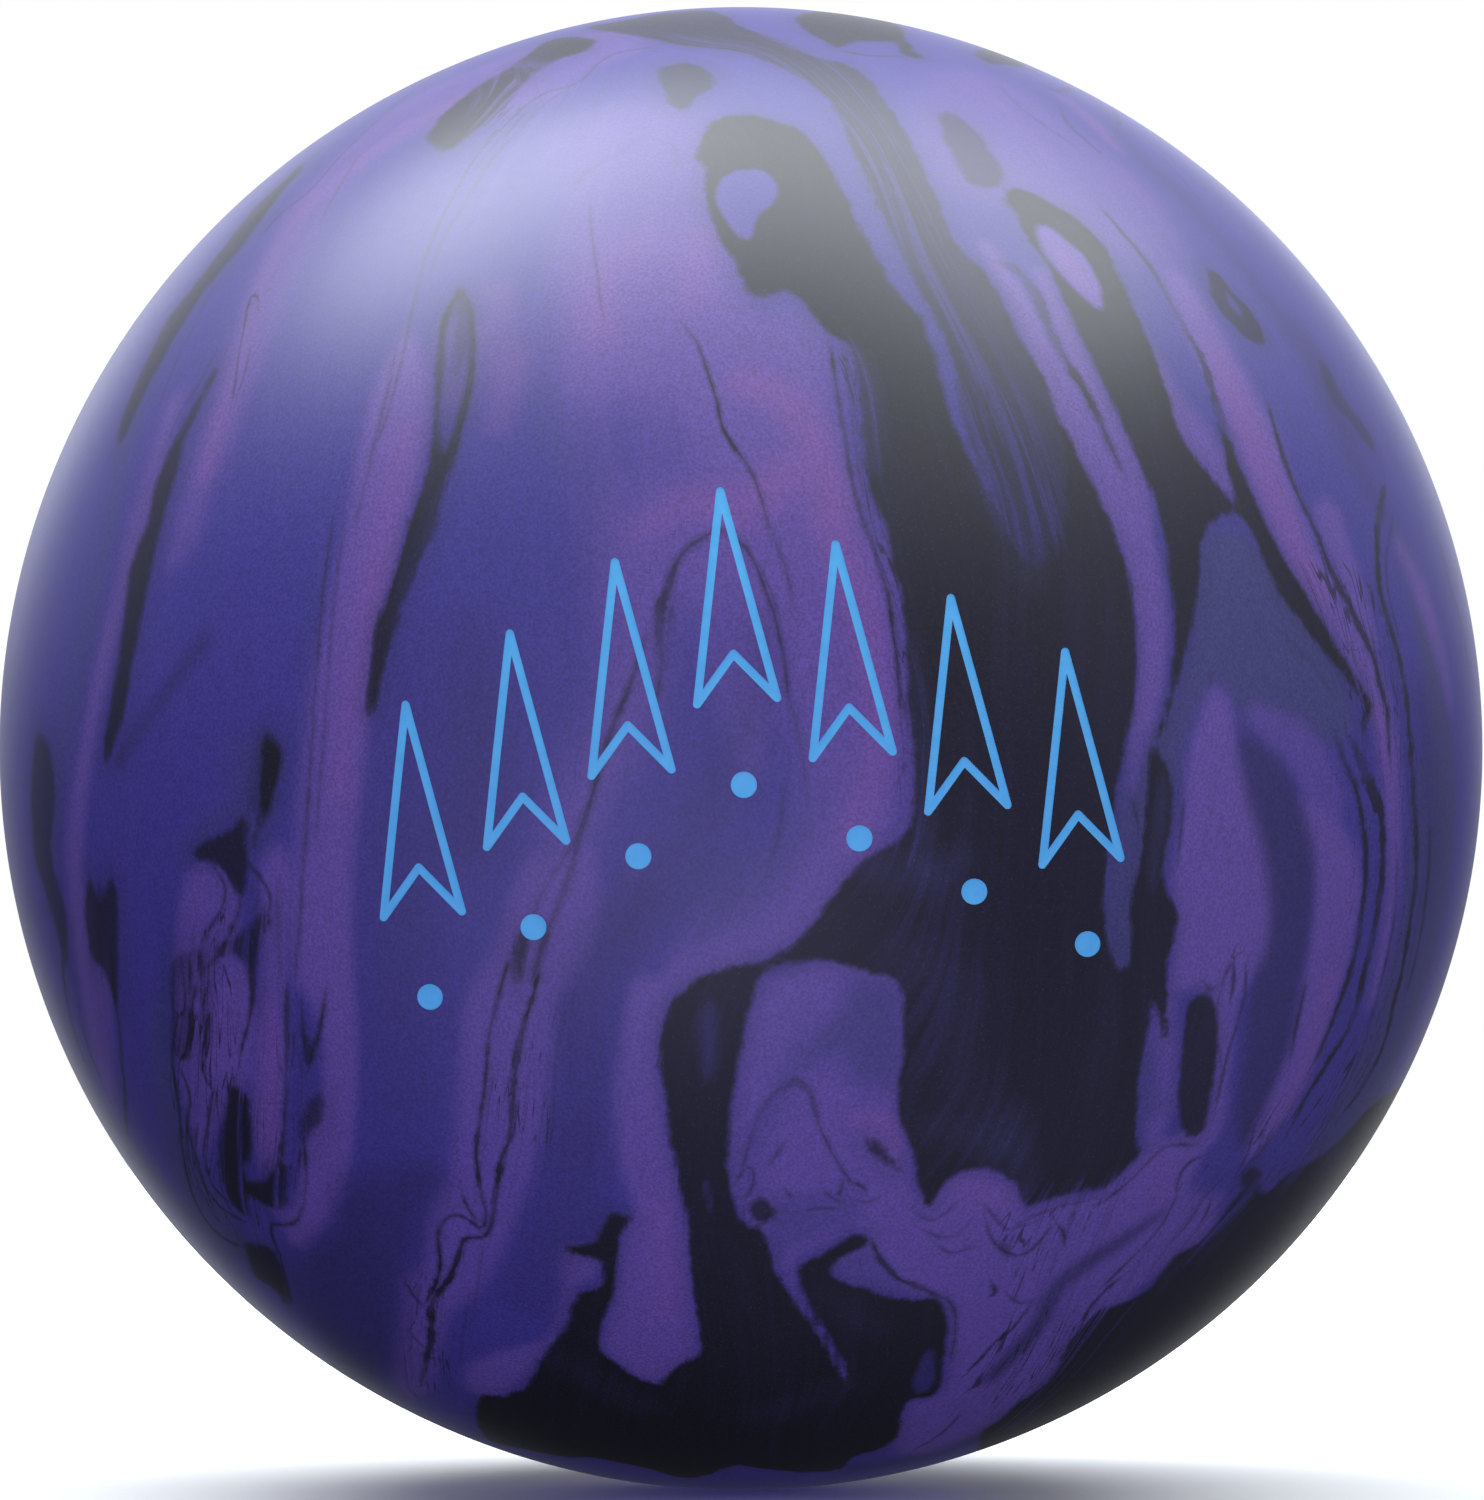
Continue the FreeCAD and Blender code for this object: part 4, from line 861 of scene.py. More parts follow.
# flow lines: a number across them, by the share of the way from one to the next
lines = [smooth(from_view(g), False, 4.0) for g in FLOW]
found = [nearest(P, l[:-1], l[1:]) for l in lines]
fd = np.stack([q[0] for q in found], -1)
fs = np.stack([q[3] for q in found], -1)
k0 = fd.argmin(1)
rows = np.arange(len(P))
nb = np.clip(k0 + np.where(fs[rows, k0] > 0, 1, -1), 0, len(lines) - 1)
share = fd[rows, k0] / np.maximum(fd[rows, k0] + fd[rows, nb], 1e-6)
across = k0 + (nb - k0) * share
flow = np.stack([across, co[FRONT, 2], np.zeros(len(FRONT))], -1)

# the back, from stirred noise, joined to the front round the sides
lag = np.radians(np.clip(7.0 + 16.0 * lattice_noise(co / 26.0, 123), 0, 14))     # an uneven line, not a straight one
w = ramp(theta - lag, math.radians(83), math.radians(92))
BACK = np.where(skin & (theta > math.radians(82)))[0]
pb = co[BACK]
_, bd = back_field(lambda p: layered(back_point(p), 11, 2) - 0.13, pb)
vv, vd = back_field(lambda p: layered(back_point(p) * 1.25 + 31.0, 23, 2) + 0.02, pb)
vv2, vd2 = back_field(lambda p: layered(back_point(p) * 0.9 - 12.0, 37, 2) - 0.05, pb)
halo = np.exp(-np.maximum(-bd, 0) / 9.0)
n1 = layered(back_point(pb) * 0.8 + 3.0, 51, 3)
n2 = layered(back_point(pb) * 0.7 - 8.0, 57, 3)
n3 = layered(back_point(pb) * 1.1 + 40.0, 63, 2)
back_tint = np.stack([
    np.clip(ramp(n1, -0.22, 0.12) * 0.9 + 0.25 * halo, 0, 1),
    0.55 * ramp(n2, 0.10, 0.55),
    0.75 * ramp(n3, 0.16, 0.50),
    0.7 * ramp(-n1, 0.05, 0.5),
], -1)


def join(front, back):
    """Front values carried to the whole shell, and crossed over to the back's round the sides."""
    full = np.zeros((N,) + front.shape[1:])
    full[FRONT] = front
    ww = w[BACK] if front.ndim == 1 else w[BACK][:, None]
    full[BACK] = full[BACK] * (1 - ww) + back * ww
    return full


ones = np.ones(len(BACK))
put("pigment", "FLOAT_COLOR", join(tint, back_tint))
put("dark", "FLOAT_VECTOR", join(dark, np.stack([np.clip(bd, -9, 9), ones * 0.8, ones * 0.97], -1)))
put("opening", "FLOAT_VECTOR", join(hole, np.stack([ones * -9, ones, ones], -1)))
put("drift", "FLOAT", join(drift, ones * 0))
for c in range(CHANNELS):
    v = veins[c].copy()
    v[:, 2] *= 1 - w[FRONT]
    full = np.tile([9.0, 0.2, 0.0], (N, 1))
    full[FRONT] = v
    put("vein%d" % c, "FLOAT_VECTOR", full)
full = np.full((N, 3), 0.25)
for c in range(3):
    full[FRONT, c] = blur[c]
put("blur_a", "FLOAT_VECTOR", full)
full = np.full((N, 3), 0.25)
for c in range(3):
    full[FRONT, c] = blur[3 + c]
put("blur_b", "FLOAT_VECTOR", full)
wide = np.clip(0.45 + 0.5 * lattice_noise(pb / 24.0, 91), 0.12, 1.2)
vis = ramp(lattice_noise(pb / 40.0 + 9.0, 93), -0.25, 0.2) * w[BACK]
put("vein_back", "FLOAT_VECTOR", np.stack([np.clip(vd, -9, 9), wide, 0.75 * vis], -1), BACK)
vis2 = ramp(lattice_noise(pb / 34.0 - 4.0, 97), -0.05, 0.35) * w[BACK]
put("vein_back2", "FLOAT_VECTOR", np.stack([np.clip(vd2, -9, 9), wide * 0.5, 0.6 * vis2], -1), BACK)
back_flow = back_point(pb)
full = np.zeros((N, 3))
full[FRONT] = flow
put("flow", "FLOAT_VECTOR", full)
put("flow_back", "FLOAT_VECTOR", back_flow * 6.0, BACK)
full = np.zeros(N)
full[skin] = w[skin]
put("behind", "FLOAT", full)
print("fields done")

# places where pale streaks run through a dark pour, or dark ones through a pale pour: (softness, amount, outline)
STREAKY = [
    (16, 0.58, [(600, 30), (690, 30), (760, 30), (850, 60), (900, 130), (935, 220), (985, 330), (1040, 430), (1062, 520), (1040, 560), (1000, 520), (965, 440), (945, 360), (905, 260), (868, 190), (835, 110), (760, 56), (690, 44)]),
    (18, 0.70, [(1020, 1200), (1120, 1180), (1240, 1170), (1250, 1210), (1160, 1290), (1060, 1400), (1000, 1440), (980, 1400), (1010, 1300), (1000, 1240)]),
    (16, 0.60, [(440, 1160), (560, 1000), (580, 1020), (560, 1120), (500, 1300), (440, 1400), (400, 1400), (420, 1280)]),
    (14, 0.55, [(838, 340), (860, 350), (880, 420), (880, 500), (905, 600), (925, 740), (920, 860), (895, 850), (896, 700), (880, 580), (855, 500), (840, 430)]),
    (14, 0.60, [(500, 60), (560, 60), (620, 70), (600, 100), (560, 110), (520, 120), (480, 170), (470, 130)]),
    (20, 0.75, [(180, 960), (290, 900), (300, 1180), (250, 1250), (190, 1180), (170, 1060)]),
    (20, 0.62, [(1300, 560), (1380, 600), (1420, 800), (1400, 1000), (1300, 1180), (1240, 1150), (1340, 1000), (1370, 800)]),
    (24, 0.14, [(860, 860), (960, 880), (1010, 1100), (1020, 1180), (920, 1180), (900, 1000)]),
]
streak = np.full(len(FRONT), 0.04)
for soft, amount, pts in STREAKY:
    k, d = shape_distance(pts)
    streak[k] = np.maximum(streak[k], amount * ramp(d, -soft * PX, soft * PX))
put("streak", "FLOAT", join(streak, 0.06 + 0.34 * ramp(lattice_noise(pb / 45.0, 99), 0.1, 0.5)))

# ---- smooth shading: the ball's own normals on its skin, flat ones on the groove walls ----------
made.shade_smooth()
corner = np.empty(len(made.loops), int)
made.loops.foreach_get("vertex_index", corner)
start = np.empty(len(made.polygons), int)
total = np.empty(len(made.polygons), int)
made.polygons.foreach_get("loop_start", start)
made.polygons.foreach_get("loop_total", total)
fn = np.empty(len(made.polygons) * 3)
made.polygons.foreach_get("normal", fn)
fn = fn.reshape(-1, 3)
owner = np.repeat(np.arange(len(total)), total)
order = np.concatenate([np.arange(s, s + t) for s, t in zip(start, total)]) if len(total) else start
loop_face = np.empty(len(corner), int)
loop_face[order] = owner
radial = unit[corner]
agree = (radial * fn[loop_face]).sum(1)
normal = np.where((np.abs(agree) > 0.9)[:, None], radial * np.sign(agree)[:, None], fn[loop_face])
made.normals_split_custom_set(normal.tolist())
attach(shell, BODY)
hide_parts("coverstock_shell")


# ---- nodes --------------------------------------------------------------------------------------
class Nodes:
    """A material's nodes, built from short calls. Values may be sockets or numbers."""

    def __init__(self, name):
        self.mat = bpy.data.materials.new(name)
        self.mat.use_nodes = True
        self.nt = self.mat.node_tree
        self.nt.nodes.clear()
        self.out = self.nt.nodes.new("ShaderNodeOutputMaterial")
        self.bsdf = self.nt.nodes.new("ShaderNodeBsdfPrincipled")
        self.nt.links.new(self.bsdf.outputs[0], self.out.inputs[0])

    def link(self, value, socket):
        if isinstance(value, bpy.types.NodeSocket):
            self.nt.links.new(value, socket)
        elif value is not None:
            socket.default_value = value

    def math(self, op, a, b=None, c=None, clamp=False):
        n = self.nt.nodes.new("ShaderNodeMath")
        n.operation, n.use_clamp = op, clamp
        for i, v in enumerate((a, b, c)):
            self.link(v, n.inputs[i])
        return n.outputs[0]

    def vec(self, op, a, b=None, scale=None):
        n = self.nt.nodes.new("ShaderNodeVectorMath")
        n.operation = op
        self.link(a, n.inputs[0])
        self.link(b, n.inputs[1])
        if scale is not None:
            self.link(scale, n.inputs["Scale"])
        return n.outputs["Value" if op in ("LENGTH", "DOT_PRODUCT", "DISTANCE") else "Vector"]

    def attribute(self, name, out="Fac"):
        n = self.nt.nodes.new("ShaderNodeAttribute")
        n.attribute_name = name
        return n.outputs[out]

    def split(self, v):
        n = self.nt.nodes.new("ShaderNodeSeparateXYZ")
        self.link(v, n.inputs[0])
        return n.outputs[0], n.outputs[1], n.outputs[2]

    def join(self, x, y, z):
        n = self.nt.nodes.new("ShaderNodeCombineXYZ")
        for i, v in enumerate((x, y, z)):
            self.link(v, n.inputs[i])
        return n.outputs[0]

    def noise(self, v, scale, detail=2.0, rough=0.5, distort=0.0):
        n = self.nt.nodes.new("ShaderNodeTexNoise")
        self.link(v, n.inputs["Vector"])
        n.inputs["Scale"].default_value = scale
        n.inputs["Detail"].default_value = detail
        n.inputs["Roughness"].default_value = rough
        n.inputs["Distortion"].default_value = distort
        return n.outputs[0]

    def ramp(self, v, lo, hi, to_lo=0.0, to_hi=1.0, smooth=True):
        n = self.nt.nodes.new("ShaderNodeMapRange")
        n.interpolation_type = "SMOOTHSTEP" if smooth else "LINEAR"
        n.clamp = True
        for i, x in enumerate((v, lo, hi, to_lo, to_hi)):
            self.link(x, n.inputs[i])
        return n.outputs[0]

    def mix(self, f, a, b):
        n = self.nt.nodes.new("ShaderNodeMix")
        n.data_type = "RGBA"
        self.link(f, n.inputs[0])
        for i, v in ((6, a), (7, b)):
            if isinstance(v, tuple):
                v = tuple(v) + (1.0,)
            self.link(v, n.inputs[i])
        return n.outputs[2]

    def lerp(self, f, a, b):
        n = self.nt.nodes.new("ShaderNodeMix")
        n.data_type = "FLOAT"
        for i, v in ((0, f), (2, a), (3, b)):
            self.link(v, n.inputs[i])
        return n.outputs[0]

    def coord(self, name="Object"):
        return self.nt.nodes.new("ShaderNodeTexCoord").outputs[name]

    def bump(self, height, strength, distance, normal=None):
        n = self.nt.nodes.new("ShaderNodeBump")
        n.inputs["Strength"].default_value = strength
        n.inputs["Distance"].default_value = distance
        self.link(height, n.inputs["Height"])
        if normal is not None:
            self.link(normal, n.inputs["Normal"])
        return n.outputs[0]

    def finish(self, color, rough, normal=None, **fixed):
        self.link(color, self.bsdf.inputs["Base Color"])
        self.link(rough, self.bsdf.inputs["Roughness"])
        if normal is not None:
            self.link(normal, self.bsdf.inputs["Normal"])
        for k, v in fixed.items():
            self.bsdf.inputs[k.replace("_", " ")].default_value = v
        return self.mat


INDIGO, DEEP = (0.044, 0.033, 0.228), (0.025, 0.019, 0.108)
VIOLET, PINK = (0.114, 0.064, 0.285), (0.190, 0.076, 0.285)
SLATE, DARKEST = (0.046, 0.045, 0.162), (0.0068, 0.0062, 0.0200)
VEINS = (0.013, 0.011, 0.038)


def coverstock():
    s = Nodes("coverstock_marbled")
    m = s.math
    obj = s.coord()
    pig_color = s.attribute("pigment", "Color")
    violet, pink, slate = s.split(pig_color)
    deep = s.attribute("pigment", "Alpha")
    behind = s.attribute("behind")
    cloud = s.noise(obj, 34.0, 3.0, 0.55, 0.4)
    patch = s.noise(obj, 150.0, 3.0, 0.6, 0.3)
    fine = s.noise(obj, 620.0, 2.0, 0.6)
    fx, fy, _ = s.split(s.attribute("flow", "Vector"))
    wob = s.noise(obj, 26.0, 1.0, 0.5)
    fxw = m("ADD", fx, m("MULTIPLY", m("SUBTRACT", wob, 0.5), 0.5))
    front_broad = s.noise(s.join(m("MULTIPLY", fxw, 2.6), m("MULTIPLY", fy, 0.016), 0.0), 1.0, 3.0, 0.6)
    front_fine = s.noise(s.join(m("MULTIPLY", fxw, 11.0), m("MULTIPLY", fy, 0.022), 3.7), 1.0, 3.0, 0.65)
    bf = s.vec("MULTIPLY", s.attribute("flow_back", "Vector"), (1.0, 1.0, 0.30))
    back_broad = s.noise(bf, 0.45, 3.0, 0.6)
    back_fine = s.noise(bf, 1.7, 3.0, 0.65)
    broad = s.lerp(behind, front_broad, back_broad)
    thin = s.lerp(behind, front_fine, back_fine)

    def feather(v, by, amount):
        """v with its half tones pushed about by a noise."""
        mid = m("MULTIPLY", m("MULTIPLY", v, m("SUBTRACT", 1.0, v)), 4.0 * amount)
        return m("ADD", v, m("MULTIPLY", mid, m("SUBTRACT", by, 0.5)), clamp=True)

    violet = feather(violet, broad, 0.55)
    violet = feather(violet, cloud, 0.5)
    slate = feather(slate, thin, 0.6)
    pink = feather(pink, cloud, 0.9)
    deep = feather(deep, cloud, 0.6)
    base = s.mix(m("MULTIPLY", s.ramp(cloud, 0.3, 0.75), 0.22), INDIGO, (0.054, 0.041, 0.232))
    base = s.mix(m("MULTIPLY", s.ramp(broad, 0.52, 0.80), 0.18), base, VIOLET)
    base = s.mix(slate, base, SLATE)
    base = s.mix(violet, base, VIOLET)
    base = s.mix(m("MULTIPLY", pink, 0.85), base, PINK)
    base = s.mix(m("MULTIPLY", deep, 0.9), base, DEEP)
    streak = s.attribute("streak")
    dim = m("MULTIPLY", m("MULTIPLY", s.ramp(thin, 0.50, 0.30), streak), m("SUBTRACT", 1.0, m("MULTIPLY", streak, 0.35)))
    base = s.mix(m("MULTIPLY", dim, 0.55), base, VEINS)

    # fine dark threads where one pour slides along another
    ragged = s.noise(obj, 430.0, 3.0, 0.65)
    threads = None
    for level, wide in ((0.43, 0.010), (0.50, 0.007), (0.57, 0.012), (0.62, 0.008)):
        line = s.ramp(m("ABSOLUTE", m("SUBTRACT", broad, level)), wide, wide * 0.2)
        threads = line if threads is None else m("MAXIMUM", threads, line)
    threads = m("MULTIPLY", threads, m("MULTIPLY", s.ramp(cloud, 0.42, 0.58), s.ramp(ragged, 0.35, 0.55, 0.35, 1.0)))
    base = s.mix(m("MULTIPLY", threads, s.ramp(streak, 0.2, 0.5, 0.10, 0.85)), base, VEINS)

    # veins
    vein = None
    ba, bb = s.split(s.attribute("blur_a", "Vector")), s.split(s.attribute("blur_b", "Vector"))
    for c in range(CHANNELS):
        d, half, force = s.split(s.attribute("vein%d" % c, "Vector"))
        soft = (ba + bb)[c]
        d = m("ADD", d, m("MULTIPLY", m("SUBTRACT", patch, 0.5), 0.45))
        half = m("MULTIPLY", half, s.ramp(ragged, 0.3, 0.7, 0.45, 1.35))
        a = m("ABSOLUTE", d)
        al = m("MULTIPLY", s.ramp(m("SUBTRACT", a, half), soft, m("MULTIPLY", soft, -1.0)), force)
        # a faint wider shadow round the vein
        near = m("MULTIPLY", s.ramp(a, 1.7, 0.9), m("MULTIPLY", force, 0.34))
        al = m("MAXIMUM", al, m("MULTIPLY", s.ramp(m("SUBTRACT", a, half), m("MULTIPLY", soft, 2.6), 0.0), near))
        vein = al if vein is None else m("MAXIMUM", vein, al)
    for name in ("vein_back", "vein_back2"):
        d, half, force = s.split(s.attribute(name, "Vector"))
        d = m("ADD", d, m("MULTIPLY", m("SUBTRACT", patch, 0.5), 0.5))
        al = m("MULTIPLY", s.ramp(m("SUBTRACT", m("ABSOLUTE", d), half), 0.45, -0.35), force)
        vein = m("MAXIMUM", vein, al)
    vein = m("MULTIPLY", m("POWER", vein, 0.72), s.ramp(fine, 0.15, 0.6, 0.88, 1.0), None)
    fades = s.ramp(s.noise(obj, 85.0, 2.0, 0.6), 0.34, 0.60, 0.50, 1.0)
    base = s.mix(m("MULTIPLY", m("MULTIPLY", vein, 1.12), fades, clamp=True), base, VEINS)

    # dark pours
    d, soft, force = s.split(s.attribute("dark", "Vector"))
    wander = m("ADD", m("MULTIPLY", m("SUBTRACT", patch, 0.5), 1.6), m("MULTIPLY", m("SUBTRACT", thin, 0.5), 1.3))
    wander = m("ADD", wander, m("MULTIPLY", m("SUBTRACT", ragged, 0.5), 1.2))
    d = m("ADD", d, wander)
    dark = m("MULTIPLY", s.ramp(d, m("MULTIPLY", soft, -1.15), soft), force)
    shade = m("MULTIPLY", s.ramp(d, m("MULTIPLY", soft, -5.0), 0.0), 0.16)
    dark = m("MAXIMUM", dark, shade)
    h, hs, hf = s.split(s.attribute("opening", "Vector"))
    h = m("ADD", h, m("MULTIPLY", wander, 0.6))
    dark = m("MULTIPLY", dark, m("SUBTRACT", 1.0, m("MULTIPLY", s.ramp(h, m("MULTIPLY", hs, -1.0), hs), hf)))
    drift = s.attribute("drift")
    dark = m("MULTIPLY", dark, m("SUBTRACT", 1.0, m("MULTIPLY", s.ramp(thin, 0.47, 0.64), m("MULTIPLY", streak, 0.86))))
    dark = m("ADD", dark, m("MULTIPLY", m("MAXIMUM", drift, 0.0), 1.0), clamp=True)
    lift = m("MULTIPLY", m("MAXIMUM", m("MULTIPLY", drift, -1.0), 0.0), s.ramp(thin, 0.2, 0.7, 0.6, 1.3), clamp=True)
    night = s.mix(m("MULTIPLY", s.ramp(broad, 0.5, 0.8), 0.10), DARKEST, SLATE)
    night = s.mix(lift, night, SLATE)
    color = s.mix(dark, base, night)

    # sanded grain: a fine mottle of colour, and tiny scratches in the finish
    grain = s.noise(obj, 2300.0, 2.0, 0.7)
    speck = s.ramp(s.noise(obj, 3800.0, 0.0, 0.5), 0.70, 0.80)
    color = s.mix(m("MULTIPLY", speck, 0.035), color, (0.45, 0.45, 0.60))
    hsv = s.nt.nodes.new("ShaderNodeHueSaturation")
    s.link(color, hsv.inputs["Color"])
    s.link(s.ramp(grain, 0.36, 0.64, 0.81, 1.19, smooth=False), hsv.inputs["Value"])
    color = hsv.outputs[0]
    sand_a = s.noise(s.vec("MULTIPLY", obj, (900.0, 900.0, 9000.0)), 1.0, 1.0, 0.6)
    sand_b = s.noise(s.vec("MULTIPLY", obj, (9000.0, 5000.0, 900.0)), 1.0, 1.0, 0.6)
    height = m("ADD", m("MULTIPLY", sand_a, 0.5), m("ADD", m("MULTIPLY", sand_b, 0.5), m("MULTIPLY", grain, 0.8)))
    normal = s.bump(height, 0.18, 0.00002)
    rough = m("ADD", s.ramp(grain, 0.2, 0.8, 0.38, 0.44), m("MULTIPLY", m("SUBTRACT", fine, 0.5), 0.04))
    return s.finish(color, rough, normal, Specular_IOR_Level=SPEC, IOR=1.5)


def ink_blue():
    s = Nodes("engraving_ink")
    obj = s.coord()
    mott = s.noise(obj, 420.0, 3.0, 0.6)
    tiny = s.noise(obj, 2600.0, 2.0, 0.6)
    c = s.mix(s.ramp(mott, 0.3, 0.75), (0.078, 0.440, 0.730), (0.095, 0.480, 0.770))
    c = s.mix(s.math("MULTIPLY", s.ramp(tiny, 0.62, 0.75), 0.12), c, (0.20, 0.45, 0.75))
    return s.finish(c, s.ramp(mott, 0.2, 0.8, 0.42, 0.52), s.bump(tiny, 0.15, 0.00003))


def moulded(name, a, b, rough=0.5):
    s = Nodes(name)
    obj = s.coord()
    big = s.noise(obj, 60.0, 4.0, 0.6)
    tiny = s.noise(obj, 1500.0, 2.0, 0.6)
    pores = s.ramp(s.noise(obj, 700.0, 2.0, 0.5), 0.66, 0.74)
    c = s.mix(s.ramp(big, 0.3, 0.7), a, b)
    c = s.mix(s.math("MULTIPLY", pores, 0.35), c, tuple(v * 0.5 for v in a))
    return s.finish(c, s.ramp(tiny, 0.2, 0.8, rough - 0.05, rough + 0.06), s.bump(tiny, 0.2, 0.00006))


def turned_pin():
    """A dowel turned flush with the ball: fine circles on its end, and a light blue plastic body."""
    s = Nodes("locator_pin_plastic")
    obj = s.coord()
    x, y, z = s.split(obj)
    r = s.math("SQRT", s.math("ADD", s.math("MULTIPLY", x, x), s.math("MULTIPLY", y, y)))
    rings = s.noise(s.join(s.math("MULTIPLY", r, 9000.0), 0.0, 0.0), 1.0, 2.0, 0.6)
    mott = s.noise(obj, 500.0, 3.0, 0.6)
    c = s.mix(s.ramp(mott, 0.3, 0.7), (0.15, 0.33, 0.50), (0.18, 0.37, 0.54))
    rim = s.ramp(r, 0.0060, 0.0063)
    c = s.mix(s.math("MULTIPLY", rim, 0.5), c, (0.10, 0.18, 0.26))
    return s.finish(c, s.ramp(rings, 0.3, 0.7, 0.38, 0.5), s.bump(rings, 0.12, 0.00003))


SPEC = 0.68
shell.data.materials.clear()
shell.data.materials.append(coverstock())
INK = ink_blue()


def ink_piece(name, build, node):
    ob = new_mesh(name, build.v, build.f)
    outward(ob)
    ob.data.shade_smooth()
    ob.data.set_sharp_from_angle(angle=math.radians(40))
    ob.data.materials.append(INK)
    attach(ob, BODY)
    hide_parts(node)
    return ob


ink_piece("arrow_ink", ink_a, "arrow_graphic_ink")
ink_piece("dot_ink", ink_d, "dot_graphic_ink")
ink_piece("balance_mark", ink_m, "balance_mark_ink")


def repaint(node, mat):
    o = frame["nodes"][node]
    o.data.materials.clear()
    o.data.materials.append(mat)


repaint("locator_pin", turned_pin())
repaint("outer_core", moulded("core_filler", (0.30, 0.27, 0.23), (0.40, 0.36, 0.30), 0.6))
repaint("weight_block", moulded("weight_block_compound", (0.42, 0.12, 0.06), (0.52, 0.17, 0.09), 0.45))

# ---- floor, light and camera --------------------------------------------------------------------
def floor():
    z = -R * MM - 0.0002
    ring = [(1.25 * math.cos(a), 1.25 * math.sin(a), z) for a in np.linspace(0, 2 * math.pi, 97)[:-1]]
    me = bpy.data.meshes.new("studio_floor")
    me.from_pydata([(0, 0, z)] + ring, [], [(0, 1 + i, 1 + (i + 1) % 96) for i in range(96)])
    ob = bpy.data.objects.new("studio_floor", me)
    scene.collection.objects.link(ob)
    s = Nodes("floor_paper")
    tooth = s.noise(s.coord(), 900.0, 2.0, 0.6)
    s.finish(s.mix(tooth, (0.86, 0.86, 0.87), (0.90, 0.90, 0.91)), 0.9, s.bump(tooth, 0.05, 0.0001))
    ob.data.materials.append(s.mat)
    ob.visible_diffuse = False
    ob.visible_glossy = False


# Soft boxes round the ball, as smooth patches of the studio's white: (brightness, tightness, direction)
BOXES = [
    (5.80, 30, (-0.43, 0.30, 0.85)), (1.20, 20, (0.50, 0.44, 0.72)), (0.90, 14, (0.57, -0.24, 0.79)),
    (1.00, 14, (0.24, -0.57, 0.79)), (0.60, 14, (-0.45, -0.45, 0.75)), (2.20, 60, (-0.34, 0.915, 0.215)), (1.10, 90, (0.12, 0.98, 0.14)),
    (1.60, 70, (0.26, 0.95, 0.16)), (0.50, 20, (0.15, 0.75, 0.64)), (0.40, 60, (-0.03, 0.96, 0.28)),
    (1.50, 130, (-0.25, 0.955, -0.17)), (0.90, 130, (0.24, 0.955, -0.18)),
]
# and the light that comes up from the room round the ball, a little cooler
FILL = [
    (0.52, 8, (0.43, -0.25, -0.87)), (0.18, 8, (-0.43, -0.25, -0.87)), (0.16, 12, (0.66, 0.66, -0.37)),
    (0.49, 12, (0.93, 0.0, -0.37)), (1.81, 12, (0.0, -0.93, -0.37)), (0.84, 12, (-0.66, -0.66, -0.37)),
    (0.09, 12, (-0.66, 0.66, -0.37)), (0.99, 14, (0.91, -0.38, 0.14)), (0.08, 14, (0.38, -0.91, 0.14)),
    (0.98, 14, (-0.38, -0.91, 0.14)), (0.13, 14, (-0.91, -0.38, 0.14)),
]


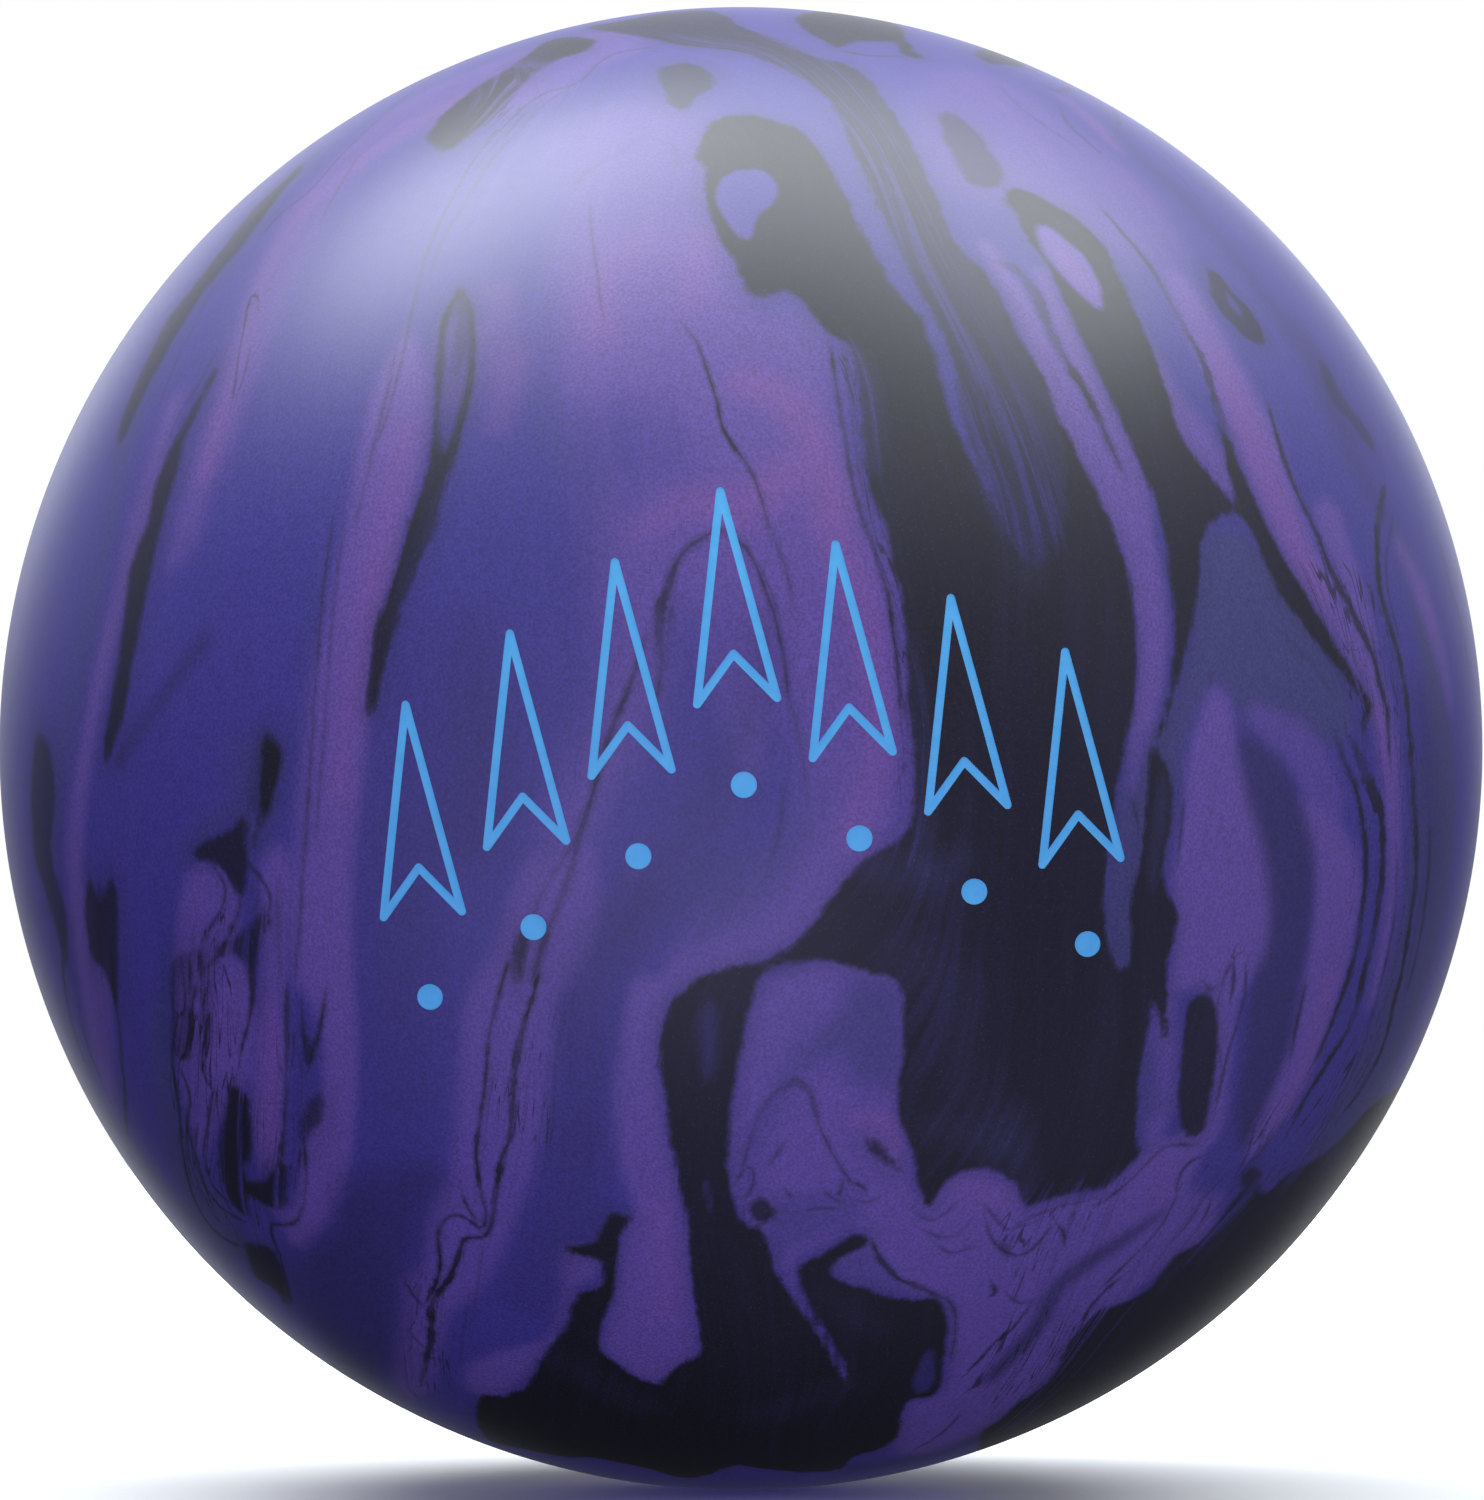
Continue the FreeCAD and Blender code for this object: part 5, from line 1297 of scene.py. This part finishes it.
def studio():
    """The room: its soft boxes, a pale sweep behind the ball, and plain white for the camera."""
    world = bpy.data.worlds.new("studio")
    scene.world = world
    world.use_nodes = True
    s = Nodes.__new__(Nodes)
    s.nt = world.node_tree
    s.nt.nodes.clear()
    out = s.nt.nodes.new("ShaderNodeOutputWorld")
    d = s.coord("Generated")
    x, y, z = s.split(d)
    # a wide soft box overhead, as a window in the plane above the ball, and the pale wall behind
    high = s.math("MAXIMUM", z, 0.05)
    u, v = s.math("DIVIDE", x, high), s.math("DIVIDE", y, high)
    window = s.math("MULTIPLY", s.ramp(u, -1.15, -0.80), s.ramp(u, 1.15, 0.75))
    window = s.math("MULTIPLY", window, s.math("MULTIPLY", s.ramp(v, -0.55, 0.12), s.ramp(v, 0.74, 0.50)))
    window = s.math("MULTIPLY", window, s.ramp(z, 0.25, 0.40))
    wall = s.math("MULTIPLY", s.ramp(z, 0.0, 0.15), s.ramp(y, -0.1, 0.5))
    total = s.math("MULTIPLY_ADD", window, 4.35, s.math("MULTIPLY_ADD", wall, 0.30, 0.02))
    skirt = s.math("MULTIPLY", s.ramp(z, -0.50, -0.22), s.ramp(y, 0.55, 0.90))
    total = s.math("MULTIPLY_ADD", s.math("MULTIPLY", skirt, s.ramp(z, 0.04, -0.10)), 0.05, total)

    def boxes(rows, start):
        for power, tight, at in rows:
            n = math.sqrt(sum(v * v for v in at))
            dot = s.vec("DOT_PRODUCT", d, tuple(v / n for v in at))
            patch = s.math("EXPONENT", s.math("MULTIPLY_ADD", dot, float(tight), -float(tight)))
            start = s.math("MULTIPLY_ADD", patch, power, start)
        return start

    def background(colour, strength):
        n = s.nt.nodes.new("ShaderNodeBackground")
        n.inputs[0].default_value = colour
        s.link(strength, n.inputs[1])
        return n.outputs[0]

    both = s.nt.nodes.new("ShaderNodeAddShader")
    s.link(background((0.95, 1.0, 1.015, 1), boxes(BOXES, total)), both.inputs[0])
    # cards at the front, polarised: they light the pigment but leave little sheen on it
    gloss = s.nt.nodes.new("ShaderNodeLightPath").outputs["Is Glossy Ray"]
    cards = s.math("MULTIPLY", boxes(FILL, 0.0), s.math("MULTIPLY_ADD", gloss, -0.60, 1.0))
    s.link(background((1.06, 1.02, 1.58, 1), cards), both.inputs[1])
    seen = s.nt.nodes.new("ShaderNodeBackground")
    seen.inputs[0].default_value = (1, 1, 1, 1)
    seen.inputs[1].default_value = 1.0
    mixer = s.nt.nodes.new("ShaderNodeMixShader")
    s.link(s.nt.nodes.new("ShaderNodeLightPath").outputs["Is Camera Ray"], mixer.inputs[0])
    s.link(both.outputs[0], mixer.inputs[1])
    s.link(seen.outputs[0], mixer.inputs[2])
    s.link(mixer.outputs[0], out.inputs[0])


floor()
studio()

scene.view_settings.view_transform = "Standard"
scene.view_settings.look = "None"
scene.view_settings.exposure = 0.0
scene.view_settings.gamma = 1.0

cam_data = bpy.data.cameras.new("camera")
cam = bpy.data.objects.new("camera", cam_data)
scene.collection.objects.link(cam)
cam_data.sensor_width = 36.0
cam_data.lens = VIEW_F / 1500.0 * 36.0
cam_data.dof.use_dof = False
cam_data.clip_end = 50
mm_per_view = VIEW_D / VIEW_F
cam.location = ((742.0 - VIEW_CX) * mm_per_view * MM, -VIEW_D * MM, -(750.0 - VIEW_CY) * mm_per_view * MM)
cam.rotation_euler = (math.pi / 2, 0, 0)
scene.camera = cam
